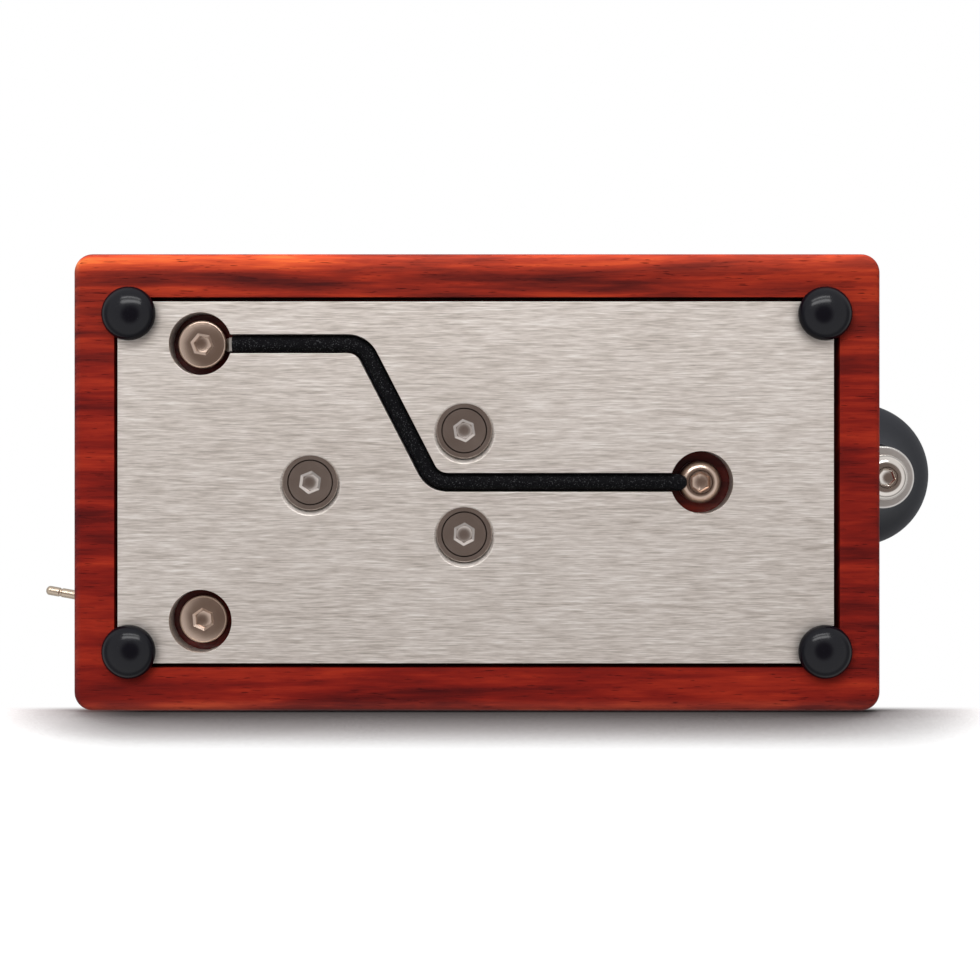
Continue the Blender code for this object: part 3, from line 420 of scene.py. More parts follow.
RECESS_SHADE_SHARE = 0.62                     # how much the painted shade darkens the wood in the recess


def red_wood():
    """Red hardwood with growth layers round a distant pith, streaks and pores. Its underside is bare and
    carries painted light on its left half and edges, and painted shade darkens the recess round the plate.
    """
    paint = finish("red_wood", Coat_Roughness=0.20, Specular_IOR_Level=0.06)
    along, across, height = (paint.axis(name) for name in "XYZ")
    from_pith_y = across - PITH_Y
    from_pith_z = height - PITH_Z
    ring = (from_pith_y * from_pith_y + from_pith_z * from_pith_z) ** 0.5
    swing = paint.math("ARCTAN2", from_pith_y, from_pith_z) * PITH_DISTANCE
    layers = paint.node("CombineXYZ", None, {0: along, 1: ring, 2: swing})
    figure = paint.noise((42, 2.9, 14), 2.0, 0.5, 0.5, layers)
    streaks = paint.noise((14, 0.8, 4.0), 4.0, 0.6, 0.35, layers)
    waves = paint.noise((9, 1.6, 2.2), 2.0, 0.5, 0.8)
    fibres = paint.noise((4, 0.17, 0.17), 3.0, 0.6)
    pores = paint.between(paint.noise((2.4, 0.19, 0.19), 1.0, 0.5), 0.66, 0.75)
    tone = figure * 0.62 + streaks * 0.34 + waves * 0.16 + fibres * 0.12 - 0.125
    color = paint.ramp(tone, WOOD_TONES)

    # Painted light: the underside's left half is made lighter, and its rounded edges get a painted highlight
    # and painted reflections
    underside = 1 - paint.between(height, *PAINTED_LIGHT_ENDS)
    for area, painted_light in (
            (1 - paint.between(across, *LEFT_HALF), LEFT_HALF_LIGHT),
            (1 - paint.between(across, *LEFT_EDGE), LEFT_EDGE_HIGHLIGHT),
            (paint.between(across, *RIGHT_EDGE), RIGHT_EDGE_REFLECTION),
            (1 - paint.between(along, *REAR_EDGE), REAR_EDGE_REFLECTION)):
        color = paint.stain(color, paint.mix(WHITE, painted_light, area * underside))

    # Painted shade: the wood in the plate's recess is darkened where the plate shades it
    from_middle = paint.math("ABSOLUTE", along - at("base_block")[2].x, 0.0)
    recess_shade = paint.between(height, *RECESS_SHADE_FROM) * (1 - paint.between(height, *RECESS_SHADE_TO))
    recess_shade = recess_shade * (1 - paint.between(paint.math("ABSOLUTE", across, 0.0), *RECESS_SHADE_HALF_WIDTH))
    recess_shade = recess_shade * (1 - paint.between(from_middle, *RECESS_SHADE_HALF_LENGTH))
    color = paint.tint(color, 1 - recess_shade * RECESS_SHADE_SHARE)
    color = paint.mix(color, PORE_COLOR, pores * 0.75)
    relief = fibres * 0.35 + streaks * 0.2 - pores
    lacquer = paint.between(height, *LACQUER_STARTS)
    return link(paint, Base_Color=color, Roughness=0.40 + fibres * 0.16 + pores * 0.2,
                Coat_Weight=lacquer * (0.45 - pores * 0.35), Normal=paint.bump(relief, 0.03 * MM, 0.6))


def brushed_plate():
    """Stainless plate with a short brushed grain along the key and faint mottling."""
    paint = finish("brushed_plate", Metallic=1.0)
    brush = paint.noise((2.8, 0.16, 0.16), 3.0, 0.6)
    hairs = paint.noise((5.0, 0.08, 0.08), 2.0, 0.55)
    mottle = paint.noise((6.0, 0.38, 0.38), 3.0, 0.6)
    cloud = paint.noise((30, 14, 14), 2.0)
    tone = brush * 0.95 + hairs * 0.35 + mottle * 0.55 + cloud * 0.20 - 0.525
    color = paint.ramp(tone, (
        (0.24, (0.455, 0.405, 0.362)), (0.42, (0.625, 0.566, 0.517)), (0.58, (0.745, 0.686, 0.637)),
        (0.78, (0.90, 0.86, 0.82))))
    relief = brush * 0.6 + hairs * 0.4
    return link(paint, Base_Color=color, Roughness=0.44 + brush * 0.14,
                Normal=paint.bump(relief, 0.016 * MM, 0.7))


def turned_steel(name, color, roughness, marks=0.35):
    """Machined steel with fine tool marks and faint smudges."""
    paint = finish(name, Metallic=1.0)
    smudge = paint.noise((3.5, 3.5, 3.5), 3.0)
    lines = paint.noise((0.9, 0.9, 0.05), 2.0)
    shade = 0.90 + smudge * 0.2
    return link(paint, Base_Color=paint.tint(color, shade), Roughness=roughness + smudge * 0.10,
                Normal=paint.bump(lines, 0.004 * MM, marks))


def machined_steel():
    """Satin steel of the lever and frame, lightly brushed along the key."""
    paint = finish("machined_steel", Metallic=1.0)
    brush = paint.noise((12, 0.10, 0.10), 4.0, 0.6)
    cloud = paint.noise((14, 9, 9), 3.0)
    color = paint.tint((0.62, 0.59, 0.56), 0.84 + brush * 0.16 + cloud * 0.16)
    return link(paint, Base_Color=color, Roughness=0.22 + brush * 0.14 + cloud * 0.06,
                Normal=paint.bump(brush, 0.008 * MM, 0.6))


def yellow_brass():
    """Turned brass, a little toned, with tool marks."""
    paint = finish("yellow_brass", Metallic=1.0)
    cloud = paint.noise((4, 4, 4), 4.0, 0.6)
    lines = paint.noise((1.2, 1.2, 0.06), 2.0)
    color = paint.mix((0.80, 0.55, 0.21), (0.58, 0.35, 0.11), paint.between(cloud, 0.42, 0.72))
    return link(paint, Base_Color=color, Roughness=0.17 + cloud * 0.16,
                Normal=paint.bump(lines, 0.005 * MM, 0.5))


def silver_contact():
    """Fine silver with a darker worn patch."""
    paint = finish("silver", Metallic=1.0)
    cloud = paint.noise((0.9, 0.9, 0.9), 4.0, 0.6)
    color = paint.mix((0.86, 0.84, 0.80), (0.50, 0.46, 0.40), paint.between(cloud, 0.50, 0.75))
    return link(paint, Base_Color=color, Roughness=0.22 + cloud * 0.22)


def tinned_copper():
    paint = finish("tinned_copper", Metallic=1.0)
    cloud = paint.noise((0.8, 0.8, 0.8), 3.0)
    color = paint.mix((0.66, 0.64, 0.61), (0.46, 0.43, 0.39), cloud)
    relief = paint.bump(cloud, 0.03 * MM, 0.5)
    return link(paint, Base_Color=color, Roughness=0.24 + cloud * 0.2, Normal=relief)


def black_rubber():
    """Glossy black rubber with a faint orange-peel skin and dust, duller round its side."""
    paint = finish("black_rubber", Specular_IOR_Level=0.03, Coat_Roughness=0.15)
    skin = paint.noise((0.5, 0.5, 0.5), 3.0)
    dust = paint.between(paint.noise((0.20, 0.20, 0.20), 2.0), 0.68, 0.80)
    side = paint.between(paint.axis("Z"), 0.9 * MM, 1.7 * MM)
    color = paint.mix((0.0028, 0.0028, 0.0052), (0.040, 0.040, 0.045), dust * 0.3)
    return link(paint, Base_Color=color, Roughness=0.20 + skin * 0.10 + dust * 0.15,
                Coat_Weight=0.46 - side * 0.30, Normal=paint.bump(skin, 0.010 * MM, 0.5))


def black_plastic():
    """Moulded knob: dark grey, satin, with a fine grain."""
    paint = finish("black_plastic", Specular_IOR_Level=0.26, Specular_Tint=(0.92, 0.97, 1.0))
    grain = paint.noise((0.28, 0.28, 0.28), 3.0)
    cloud = paint.noise((6, 6, 6), 2.0)
    color = paint.mix((0.010, 0.0105, 0.0140), (0.022, 0.0225, 0.028), cloud)
    return link(paint, Base_Color=color, Roughness=0.34 + grain * 0.12 + cloud * 0.06,
                Normal=paint.bump(grain, 0.010 * MM, 0.6))


def black_sleeve():
    """Black braided sleeve, with the odd pale fibre catching the light."""
    paint = finish("black_sleeve", Specular_IOR_Level=0.10)
    fibres = paint.noise((0.35, 0.35, 0.35), 4.0, 0.7)
    specks = paint.between(paint.noise((0.20, 0.20, 0.20), 2.0, 0.6), 0.58, 0.70)
    color = paint.mix((0.0010, 0.0010, 0.0016), (0.110, 0.110, 0.115), specks * fibres)
    relief = paint.bump(fibres, 0.05 * MM, 0.8)
    return link(paint, Base_Color=color, Roughness=0.62 + fibres * 0.2, Normal=relief)


def at(node):
    """The lowest and highest corner of a CAD node, and its middle."""
    low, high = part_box(node)
    return low, high, (low + high) / 2


# Each finish with the name of its slot
WOOD = "red_wood", red_wood()
PLATE = "brushed_steel", brushed_plate()
FRAME_STEEL = "brushed_steel", machined_steel()
BRIGHT = "bright_steel", turned_steel("bright_steel", (0.60, 0.54, 0.50), 0.14)
POLISHED = "polished_steel", turned_steel("polished_steel", (0.70, 0.65, 0.60), 0.07, 0.15)
NICKEL = "polished_steel", turned_steel("nickelled_steel", (0.53, 0.405, 0.33), 0.18)
PIN_STEEL = "polished_steel", turned_steel("pin_steel", (0.56, 0.46, 0.36), 0.28)
BRASS = "yellow_brass", yellow_brass()
SILVER = "silver", silver_contact()
TINNED = "tinned_copper", tinned_copper()
RUBBER = "black_rubber", black_rubber()
PLASTIC = "black_plastic", black_plastic()
SLEEVE = "black_sleeve", black_sleeve()


def fit_piece(piece, node, dress, spot=(0, 0, 0), turn=(0, 0, 0)):
    """Place, shade and finish a piece, and let it stand for its CAD node on that node's body."""
    slot, material = dress
    smooth(place(piece, spot, turn))
    piece.data.materials.clear()
    piece.data.materials.append(material)
    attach(piece, BODY_OF[node])
    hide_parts(node)


# Details that several pieces share

SHANK = 2 * MM                  # radius of the screws' shanks
SHANK_HOLE = 2.3 * MM
SOCKET_MOUTH = 1.76 * MM        # hex socket, from its middle to the corners of its bevelled mouth
BUTTON_MOUTH = 1.6 * MM         # the same in a button head
SOCKET_CORNERS = 1.34 * MM      # and to the corners below the bevel
SOCKET_BEVEL = 0.26 * MM
BUTTON_BEVEL = 0.40 * MM
SOCKET_DEPTH = 1.2 * MM
DRILL_RADIUS = 1.12 * MM
DRILL_TIP = 0.5 * MM
PITCH = 0.7 * MM
THREAD_SHARE = 0.2              # thread depth as a share of its radius
CREST_SHARE = 0.15              # how much of that depth the crests stand out before they are trimmed
THREAD_STEPS = 24
CHAMFER = 0.35 * MM             # from here down, the edges that several turned pieces have
BREAK = 0.2 * MM
FILLET = 0.15 * MM
NICK = 0.1 * MM
KNURL_DIGITS = 7                # decimals that tell the rows of a knurl apart


def flat_place(node):
    """Where a node's middle lies on the plan."""
    middle = at(node)[2]
    return middle.x, middle.y


def measure(node):
    """The radius and height of a standing round node, and the middle of its foot."""
    low, high, middle = at(node)
    return (high.x - low.x) / 2, high.z - low.z, (middle.x, middle.y, low.z)


def sink_socket(piece, turn, mouth=SOCKET_MOUTH, bevel=SOCKET_BEVEL):
    """Press a hex socket with a bevelled mouth and a drilled bottom into a head that faces down at z = 0."""
    hexagon = turned("hexagon", [
        (0, SOCKET_DEPTH), (SOCKET_CORNERS, SOCKET_DEPTH), (SOCKET_CORNERS, bevel),
        (mouth * 2 - SOCKET_CORNERS, -bevel), (0, -bevel)], 6)
    combine(piece, place(hexagon, turn=(0, 0, turn)))
    tip = turned("drill_tip", [
        (0, SOCKET_DEPTH + DRILL_TIP), (DRILL_RADIUS, SOCKET_DEPTH), (DRILL_RADIUS, SOCKET_DEPTH / 2),
        (0, SOCKET_DEPTH / 2)], COARSE)
    combine(piece, tip)


def thread(name, radius, low, high):
    """A threaded rod along Z with bevelled ends: a zigzag wound up, cut to length and trimmed round."""
    depth = radius * THREAD_SHARE
    bevelled, crest = radius - depth, radius + depth * CREST_SHARE
    turns = math.ceil((high - low) / PITCH) + 2     # the screw operator winds downwards
    rod = draw_line(name, [(crest, 0, high), (bevelled, 0, high + PITCH / 2), (crest, 0, high + PITCH)])
    bpy.ops.mesh.screw(steps=THREAD_STEPS, turns=turns, center=(0, 0, 0), axis=(0, 0, 1))
    weld()
    for height, keep in ((low, {"clear_inner": True}), (high, {"clear_outer": True})):
        select_all()
        bpy.ops.mesh.bisect(
            plane_co=(0, 0, height), plane_no=(0, 0, 1), threshold=WELD, use_fill=True, **keep)
    face_outwards(rod)
    trim = turned("thread_trim", [
        (0, high), (bevelled, high), (radius, high - depth),
        (radius, low + depth), (bevelled, low), (0, low)], THREAD_STEPS * 2)
    return combine(rod, trim, "INTERSECT")


def knurl(piece, radius, low, high, teeth, depth, crossed=True):
    """Press crossed diamonds or straight ribs into a band of a turned piece that has two steps a tooth."""
    slack = WELD * 2

    def in_band(point):
        outside = abs(math.hypot(point.x, point.y) - radius) < slack
        return outside and low - slack <= point.z <= high + slack

    rows = sorted({round(point.co.z, KNURL_DIGITS) for point in piece.data.vertices if in_band(point.co)})

    def pressed(point):
        if not in_band(point):
            return False
        column = round(math.atan2(point.y, point.x) / math.tau * teeth * 2)
        row = min(range(len(rows)), key=lambda index: abs(rows[index] - point.z))
        return (column + (row if crossed else 0)) % 2 == 0

    select_points(piece, pressed)
    share = 1 - depth / radius
    bpy.ops.transform.resize(value=(share, share, 1), center_override=(0, 0, 0))
    close_edit()


def band(radius, low, high, rows):
    """Profile points down a straight band, with rows for a knurl."""
    return [(radius, high + (low - high) * index / rows) for index in range(rows + 1)]


def dome(flat, radius, rise, cuts):
    """Profile points from a rim down round a dome to its flat crown."""
    angles = [QUARTER * index / cuts for index in range(cuts + 1)]
    return [(flat + (radius - flat) * math.cos(angle), rise * (1 - math.sin(angle))) for angle in angles]


def washer_profile(outer, bore, height, edge):
    """Profile points of a flat ring with bevelled outer edges."""
    rim = [(outer - edge, height), (outer, height - edge), (outer, edge)] if edge else [(outer, height)]
    return [(bore, height), *rim, (outer - edge, 0), (bore, 0)]


def rim_points(radius, steps):
    """Profile points of a head's rim, from steps of (inset, height) in millimetres."""
    return [(radius - inset * MM, height * MM) for inset, height in steps]


# Base, plate and feet

BASE_CORNER = 2.75 * MM
BASE_EDGE = 1.0 * MM
PLATE_GAP = 0.5 * MM
PLATE_CORNER = 2 * MM
PLATE_EDGE = 0.16 * MM
PLATE_TRIM = 0.38 * MM          # filed off the plate's long sides and front end, so that it drops in
RECESS_TRIM = 0.22 * MM         # how much closer the recess lies on the long sides
PLATE_HOLE = 4.65 * MM          # radius of the holes round the fixed heads
SINK_RADIUS = 4.55 * MM         # and of the countersinks, whose screws have pulled a little to the left
SINK_SHIFT = 0.36 * MM
SINK_TOP = 6 * MM               # how far up a countersink's cutter reaches
SLOT_WIDTH = 2.8 * MM
BEND_RADIUS = 3.5 * MM
REAR_BEND_X = -22.213 * MM
FRONT_BEND_X = -11.613 * MM
STRIP_GROOVE_WIDTH = 9.6 * MM
STRIP_GROOVE_DEPTH = 1.1 * MM
DOME_SHARE = 0.74               # how much of a foot's height its dome takes up
FOOT_TOP_SHARES = (0.94, 1.0), (0.985, 0.87)    # its edge at the base: shares of its radius and height
FOOT_STEPS = 72

FRAME_SCREWS = ("frame_screw_rear", "frame_screw_left", "frame_screw_right")
HELD_HEADS = ("terminal_screw_left", "terminal_screw_right", "contact_screw")


def wire_corners():
    """The slot's route: left terminal, two bends, front contact."""
    terminal, contact = flat_place("terminal_screw_left"), flat_place("contact_screw")
    return [terminal, (REAR_BEND_X, terminal[1]), (FRONT_BEND_X, contact[1]), contact]


def filleted_route(corners, radius, steps=10):
    """A flat route through corner points, with an arc of one radius at each bend."""
    route = [Vector(corners[0])]
    for before, corner, after in zip(corners, corners[1:], corners[2:]):
        corner = Vector(corner)
        back = (Vector(before) - corner).normalized()
        ahead = (Vector(after) - corner).normalized()
        half_angle = back.angle(ahead) / 2
        center = corner + (back + ahead).normalized() * (radius / math.sin(half_angle))
        first = corner + back * (radius / math.tan(half_angle)) - center
        last = corner + ahead * (radius / math.tan(half_angle)) - center
        start = math.atan2(first.y, first.x)
        sweep = (math.atan2(last.y, last.x) - start + math.pi) % math.tau - math.pi
        route += [Vector(point) for point in arc(center, radius, start, start + sweep, steps)]
    route.append(Vector(corners[-1]))
    return route


def ribbon(route, width):
    """The outline of a band of one width along a flat route."""
    left_side, right_side = [], []
    for index, point in enumerate(route):
        heading = (route[min(index + 1, len(route) - 1)] - route[max(index - 1, 0)]).normalized()
        side = Vector((-heading.y, heading.x)) * (width / 2)
        left_side.append(tuple(point + side))
        right_side.append(tuple(point - side))
    return left_side + right_side[::-1]


def model_wood_base():
    low, high = at("base_block")[:2]
    wood = block("wood_base", low, high)
    for upright, offset, segments in ((True, BASE_CORNER, 12), (False, BASE_EDGE, 8)):
        select_edges(wood, lambda first, second: (abs(first.z - second.z) > MM) == upright)
        bpy.ops.mesh.bevel(offset=offset, segments=segments, affect="EDGES")
        close_edit()
    plate_low, plate_high, plate_middle = at("base_plate")
    length = plate_high.x - plate_low.x + 2 * PLATE_GAP
    width = plate_high.y - plate_low.y + 2 * (PLATE_GAP - RECESS_TRIM)
    recess = rounded_rectangle(plate_middle, length, width, PLATE_CORNER + PLATE_GAP)
    combine(wood, slab("recess", recess, low.z - OVERRUN, plate_high.z + FIT))
    for node in FRAME_SCREWS + HELD_HEADS:
        drill(wood, SHANK_HOLE, flat_place(node), low.z, high.z + OVERRUN, COARSE)
    groove = stadium(flat_place("terminal_screw_right"), flat_place("frame_screw_rear"), STRIP_GROOVE_WIDTH)
    combine(wood, slab("strip_groove", groove, high.z - STRIP_GROOVE_DEPTH, high.z + OVERRUN))
    fit_piece(wood, "base_block", WOOD)


def model_steel_plate():
    low, high, middle = at("base_plate")
    length, width = high.x - low.x - PLATE_TRIM, high.y - low.y - 2 * PLATE_TRIM
    outline = rounded_rectangle((low.x + length / 2, middle.y), length, width, PLATE_CORNER)
    plate = slab("steel_plate", outline, low.z, high.z)
    bottom, top = low.z - OVERRUN, high.z + OVERRUN
    combine(plate, slab("slot", ribbon(filleted_route(wire_corners(), BEND_RADIUS), SLOT_WIDTH), bottom, top))
    for node in HELD_HEADS:
        drill(plate, PLATE_HOLE, flat_place(node), bottom, top, FINEST)
    sink = [(0, SINK_TOP), (SHANK_HOLE, SINK_TOP), (SHANK_HOLE, SINK_RADIUS - SHANK_HOLE),
            (SINK_RADIUS + OVERRUN, -OVERRUN), (0, -OVERRUN)]
    for node in FRAME_SCREWS:
        x, y = flat_place(node)
        combine(plate, place(turned("countersink", sink, FINEST), (x, y + SINK_SHIFT, low.z)))
    fit_piece(soften(plate, PLATE_EDGE), "base_plate", PLATE)


def model_feet():
    for node in ("foot_front_left", "foot_front_right", "foot_rear_left", "foot_rear_right"):
        radius, height, spot = measure(node)
        edge = [(radius * out_share, height * up_share) for out_share, up_share in FOOT_TOP_SHARES]
        profile = [(0, height), *edge, *dome(0, radius, height * DOME_SHARE, cuts=20)[:-1], (0, 0)]
        fit_piece(turned("rubber_" + node, profile, FOOT_STEPS), node, RUBBER, spot)


# Screws through the base

FACE_RING = 3.22 * MM           # radius of a countersunk head's flat face, inside a turned groove
FACE_GROOVE_HALF = 0.09 * MM    # the groove's half width, and its depth
FACE_GROOVE_DEPTH = 0.40 * MM
RIM_DROP = 0.005 * MM           # how little the rim outside the groove lies back
SUNK_RIM_HEIGHT = 0.2 * MM
SUNK_RIM = (0.05, 0.20), (0, 0.14), (0.10, 0.03)        # steps of (inset, height) in millimetres
STUD_RIM = (0, 0.30), (0.06, 0.14), (0.16, 0.05), (0.32, 0)
STUD_HEAD_HEIGHT = 1.7 * MM
STUD_THREAD_LENGTH = 10 * MM
THREAD_LAP = 0.5 * MM           # how far a shank runs into its thread
BUTTON_FLAT_SHARE = 0.60        # a button head's flat crown, as a share of its radius
BUTTON_RIM_SHARE = 0.22         # and its straight rim, as a share of its height
BUTTON_RING = 1.68 * MM         # the fine groove round its socket
BUTTON_GROOVE_HALF = 0.07 * MM
BUTTON_GROOVE_DEPTH = 0.26 * MM
CONTACT_HEAD_HEIGHT = 1.9 * MM
KNOB_HEAD_HEIGHT = 2.2 * MM
HEAD_TURNS = {                  # how far each socket is turned, in degrees
    "frame_screw_rear": 38, "frame_screw_left": 22, "frame_screw_right": 33,
    "terminal_screw_left": 10, "terminal_screw_right": 25, "contact_screw": 30, "knob_screw": 12,
}


def shank_end(radius, top):
    """Profile points of a shank's far end."""
    return [(0, top), (radius - CHAMFER, top), (radius, top - CHAMFER)]


def groove_points(radius, half_width, depth, lip=0):
    """Profile points down across a V-shaped groove in a head's face, whose outer lip may lie back."""
    return [(radius + 2 * half_width, lip), (radius + half_width, depth), (radius, 0)]


def model_frame_screws():
    for node in FRAME_SCREWS:
        head, top, spot = measure(node)
        profile = [
            *shank_end(SHANK, top), (SHANK, head - SHANK + SUNK_RIM_HEIGHT), *rim_points(head, SUNK_RIM),
            *groove_points(FACE_RING, FACE_GROOVE_HALF, FACE_GROOVE_DEPTH, RIM_DROP), (0, 0)]
        screw = turned(node + "_steel", profile, FINEST)
        sink_socket(screw, math.radians(HEAD_TURNS[node]))
        fit_piece(screw, node, BRIGHT, spot)


def model_terminal_screws():
    for node in ("terminal_screw_left", "terminal_screw_right"):
        head, top, spot = measure(node)
        rod_low = top - STUD_THREAD_LENGTH
        profile = [
            (0, rod_low + THREAD_LAP), (SHANK, rod_low + THREAD_LAP), (SHANK, STUD_HEAD_HEIGHT),
            (head - NICK, STUD_HEAD_HEIGHT), (head, STUD_HEAD_HEIGHT - NICK),
            *rim_points(head, STUD_RIM), (0, 0)]
        screw = turned(node + "_stud", profile, FINEST)
        sink_socket(screw, math.radians(HEAD_TURNS[node]))
        combine(screw, thread("stud_thread", SHANK, rod_low, top), "UNION")
        fit_piece(screw, node, NICKEL, spot)


def button_screw(node, name, height, dress):
    """A domed screw, head down, with a fine groove round its socket."""
    head, top, spot = measure(node)
    crown = dome(head * BUTTON_FLAT_SHARE, head, height * (1 - BUTTON_RIM_SHARE), cuts=14)
    profile = [
        *shank_end(SHANK, top), (SHANK, height), (head - NICK, height), (head, height - NICK), *crown,
        *groove_points(BUTTON_RING, BUTTON_GROOVE_HALF, BUTTON_GROOVE_DEPTH), (0, 0)]
    screw = turned(name, profile, FINEST)
    sink_socket(screw, math.radians(HEAD_TURNS[node]), BUTTON_MOUTH, BUTTON_BEVEL)
    fit_piece(screw, node, dress, spot)


# Wire, lugs, strip and pin

SLEEVE_RADIUS = 1.28 * MM
SLEEVE_SIDES = 24
SLEEVE_THIRDS = 3               # the sleeve's rows are cut in two rounds, since one makes at most a hundred
SLEEVE_CUTS = 100
SLEEVE_RELIEF = 0.07 * MM
SLEEVE_START = 4.6 * MM         # from the left terminal's axis
SLEEVE_END = 2.2 * MM           # from the front contact's axis
SLEEVE_BEND_STEPS = 16
FLAT_REACH = 4.4 * MM           # where the sleeve starts to flatten over the screw's rim
FLAT_SHARE = 0.34               # its thickness there, as a share of the round
FLAT_DROP = 0.95 * MM
SLEEVE_TIP = 1.3 * MM           # its far end is rounded over this length, down to a share of its width
TIP_SHARE = 0.35
LUG_RADIUS = 3.2 * MM
LUG_SHEET = 0.6 * MM
LUG_TONGUE_HALF = 1.0 * MM
LUG_BEND = 3.8 * MM             # where the tongue bends down, from the screw's axis
LUG_REACH = 6.5 * MM
STRIP_WIDTH = 9 * MM
PIN_ANGLE = math.radians(10)
PIN_LENGTH = 36 * MM
PIN_NOSE_SHARE = 0.8            # length of the pin's round nose, as a share of its radius
PIN_GROOVE = (2.2, 1), (2.32, 0.86), (2.6, 0.86), (2.72, 1)    # millimetres from its tip, share of its radius


def press_braid(sleeve, step):
    """Sink every other point of the sleeve, like the strands of a braid."""
    def hollow(point):
        side = round(math.atan2(point.z, point.y) / math.tau * SLEEVE_SIDES)
        return (round(point.x / step) + side) % 2 == 0

    select_points(sleeve, hollow)
    share = 1 - SLEEVE_RELIEF / SLEEVE_RADIUS
    bpy.ops.transform.resize(value=(1, share, share), center_override=(0, 0, 0))
    close_edit()


def lay_along(sleeve, route):
    """Bend a straight sleeve along a flat route."""
    line = bpy.data.curves.new("wire_route", "CURVE")
    line.dimensions = "2D"
    spline = line.splines.new("POLY")
    spline.points.add(len(route) - 1)
    for knot, point in zip(spline.points, route):
        knot.co = (point.x, point.y, 0, 1)
    guide = bpy.data.objects.new("wire_route", line)
    bpy.context.scene.collection.objects.link(guide)
    apply_modifier(sleeve, "CURVE", object=guide, deform_axis="POS_X")
    bpy.data.objects.remove(guide, do_unlink=True)


def clamp(value):
    return min(max(value, 0), 1)


def flatten_end(sleeve, contact):
    """Flatten the sleeve's front end over the contact screw's rim, and round its tip."""
    for point in sleeve.data.vertices:
        share = clamp((point.co.x - contact.x + FLAT_REACH) / (FLAT_REACH - SLEEVE_END))
        share = share * share * (3 - 2 * share)
        point.co.z = point.co.z * (1 - share * (1 - FLAT_SHARE)) - FLAT_DROP * share
        left_over = clamp((contact.x - SLEEVE_END - point.co.x) / SLEEVE_TIP)
        narrowing = max(math.sqrt(1 - (1 - left_over) ** 2), TIP_SHARE)
        point.co.y = contact.y + (point.co.y - contact.y) * narrowing


def model_link_wire():
    contact = Vector(flat_place("contact_screw"))
    corners = [Vector(corner) for corner in wire_corners()]
    corners[0].x += SLEEVE_START
    corners[-1].x -= SLEEVE_END
    route = filleted_route(corners, BEND_RADIUS, SLEEVE_BEND_STEPS)
    length = sum((after - before).length for before, after in zip(route, route[1:]))
    sleeve = bar("braided_wire", SLEEVE_RADIUS, (0, 0, 0), (length, 0, 0), SLEEVE_SIDES)
    for cuts in (SLEEVE_THIRDS - 1, SLEEVE_CUTS):
        select_edges(sleeve, lambda first, second: abs(first.x - second.x) > MM)
        bpy.ops.mesh.subdivide(number_cuts=cuts)
        close_edit()
    press_braid(sleeve, length / (SLEEVE_THIRDS * (SLEEVE_CUTS + 1)))
    lay_along(sleeve, route)
    flatten_end(sleeve, contact)
    fit_piece(sleeve, "link_wire", SLEEVE, (0, 0, at("link_wire")[2].z))


def model_lug(node, screw, heading):
    """A ring lug under a screw head, with its tongue bent down into the sleeve."""
    top = at(node)[1].z
    ring_low, wire = top - LUG_SHEET, at("link_wire")[2].z
    ring = washer_profile(LUG_RADIUS, SHANK_HOLE, LUG_SHEET, 0)
    lug = turned(node + "_tinned", [(reach, ring_low + rise) for reach, rise in ring])
    inner, half_sheet = LUG_RADIUS - LUG_SHEET, LUG_SHEET / 2
    tongue = slab("tongue", [
        (inner, ring_low), (LUG_BEND, ring_low), (LUG_BEND + half_sheet, wire - half_sheet),
        (LUG_REACH, wire - half_sheet), (LUG_REACH, wire + half_sheet),
        (LUG_BEND + LUG_SHEET, wire + half_sheet), (LUG_BEND + half_sheet, top), (inner, top)],
        -LUG_TONGUE_HALF, LUG_TONGUE_HALF)
    combine(lug, place(tongue, turn=(QUARTER, 0, 0)), "UNION")
    fit_piece(lug, node, TINNED, (*flat_place(screw), 0), (0, 0, heading))


def model_link_strip():
    low, high = at("link_strip")[:2]
    first, second = flat_place("terminal_screw_right"), flat_place("frame_screw_rear")
    strip = slab("brass_strip", stadium(first, second, STRIP_WIDTH), low.z, high.z)
    for spot in (first, second):
        drill(strip, SHANK_HOLE, spot, low.z - OVERRUN, high.z + OVERRUN)
    fit_piece(soften(strip, NICK), "link_strip", BRASS)


def model_connection_pin():
    low, high, middle = at("connection_pin")
    radius = (high.z - low.z) / 2
    nose = [(radius * math.sin(angle), radius * PIN_NOSE_SHARE * (1 - math.cos(angle)))
            for angle in (QUARTER * index / 8 for index in range(9))]
    groove = [(radius * share, height * MM) for height, share in PIN_GROOVE]
    tail = [(reach, PIN_LENGTH - rise) for reach, rise in reversed(nose)]
    heading = Vector((math.cos(PIN_ANGLE), math.sin(PIN_ANGLE), 0))
    fit_piece(turned("steel_pin", nose + groove + tail, COARSE), "connection_pin", PIN_STEEL,
              middle - heading * (PIN_LENGTH / 2), heading.to_track_quat("Z", "Y").to_euler())


# Terminals and front contact

NECK_INSET = 1.2 * MM           # how much narrower a thumb nut's neck is than its band
NECK_HEIGHT = 1.8 * MM
DISH_DEPTH = 0.25 * MM
DISH_SHARES = 0.62, 0.68        # radius of the dish in its top, at its floor and at its rim
BORE_BEVEL = 0.3 * MM
NUT_KNURL = 0.28 * MM           # depth of the knurls
SCREW_KNURL = 0.26 * MM
COLLAR_GROOVE = (0, 0.62), (0.35, 0.56), (0.35, 0.44), (0, 0.38)    # inset in mm, share of its height
POST_RADIUS = 4 * MM
POST_GROOVE = (0, 0.66), (0.4, 0.62), (0.4, 0.54), (0, 0.50)
POST_FLANGE = 2 * MM
FLANGE_FILLET = 0.5 * MM
CONTACT_SEAT = 1.4 * MM
RIVET_STEM = 1.25 * MM
RIVET_STEM_LENGTH = 2 * MM
RIVET_DISC = 1 * MM
RIVET_CROWN = (0, 0.3), (0.12, 0.1), (0.5, 0)           # inset, and drop below the face, in millimetres


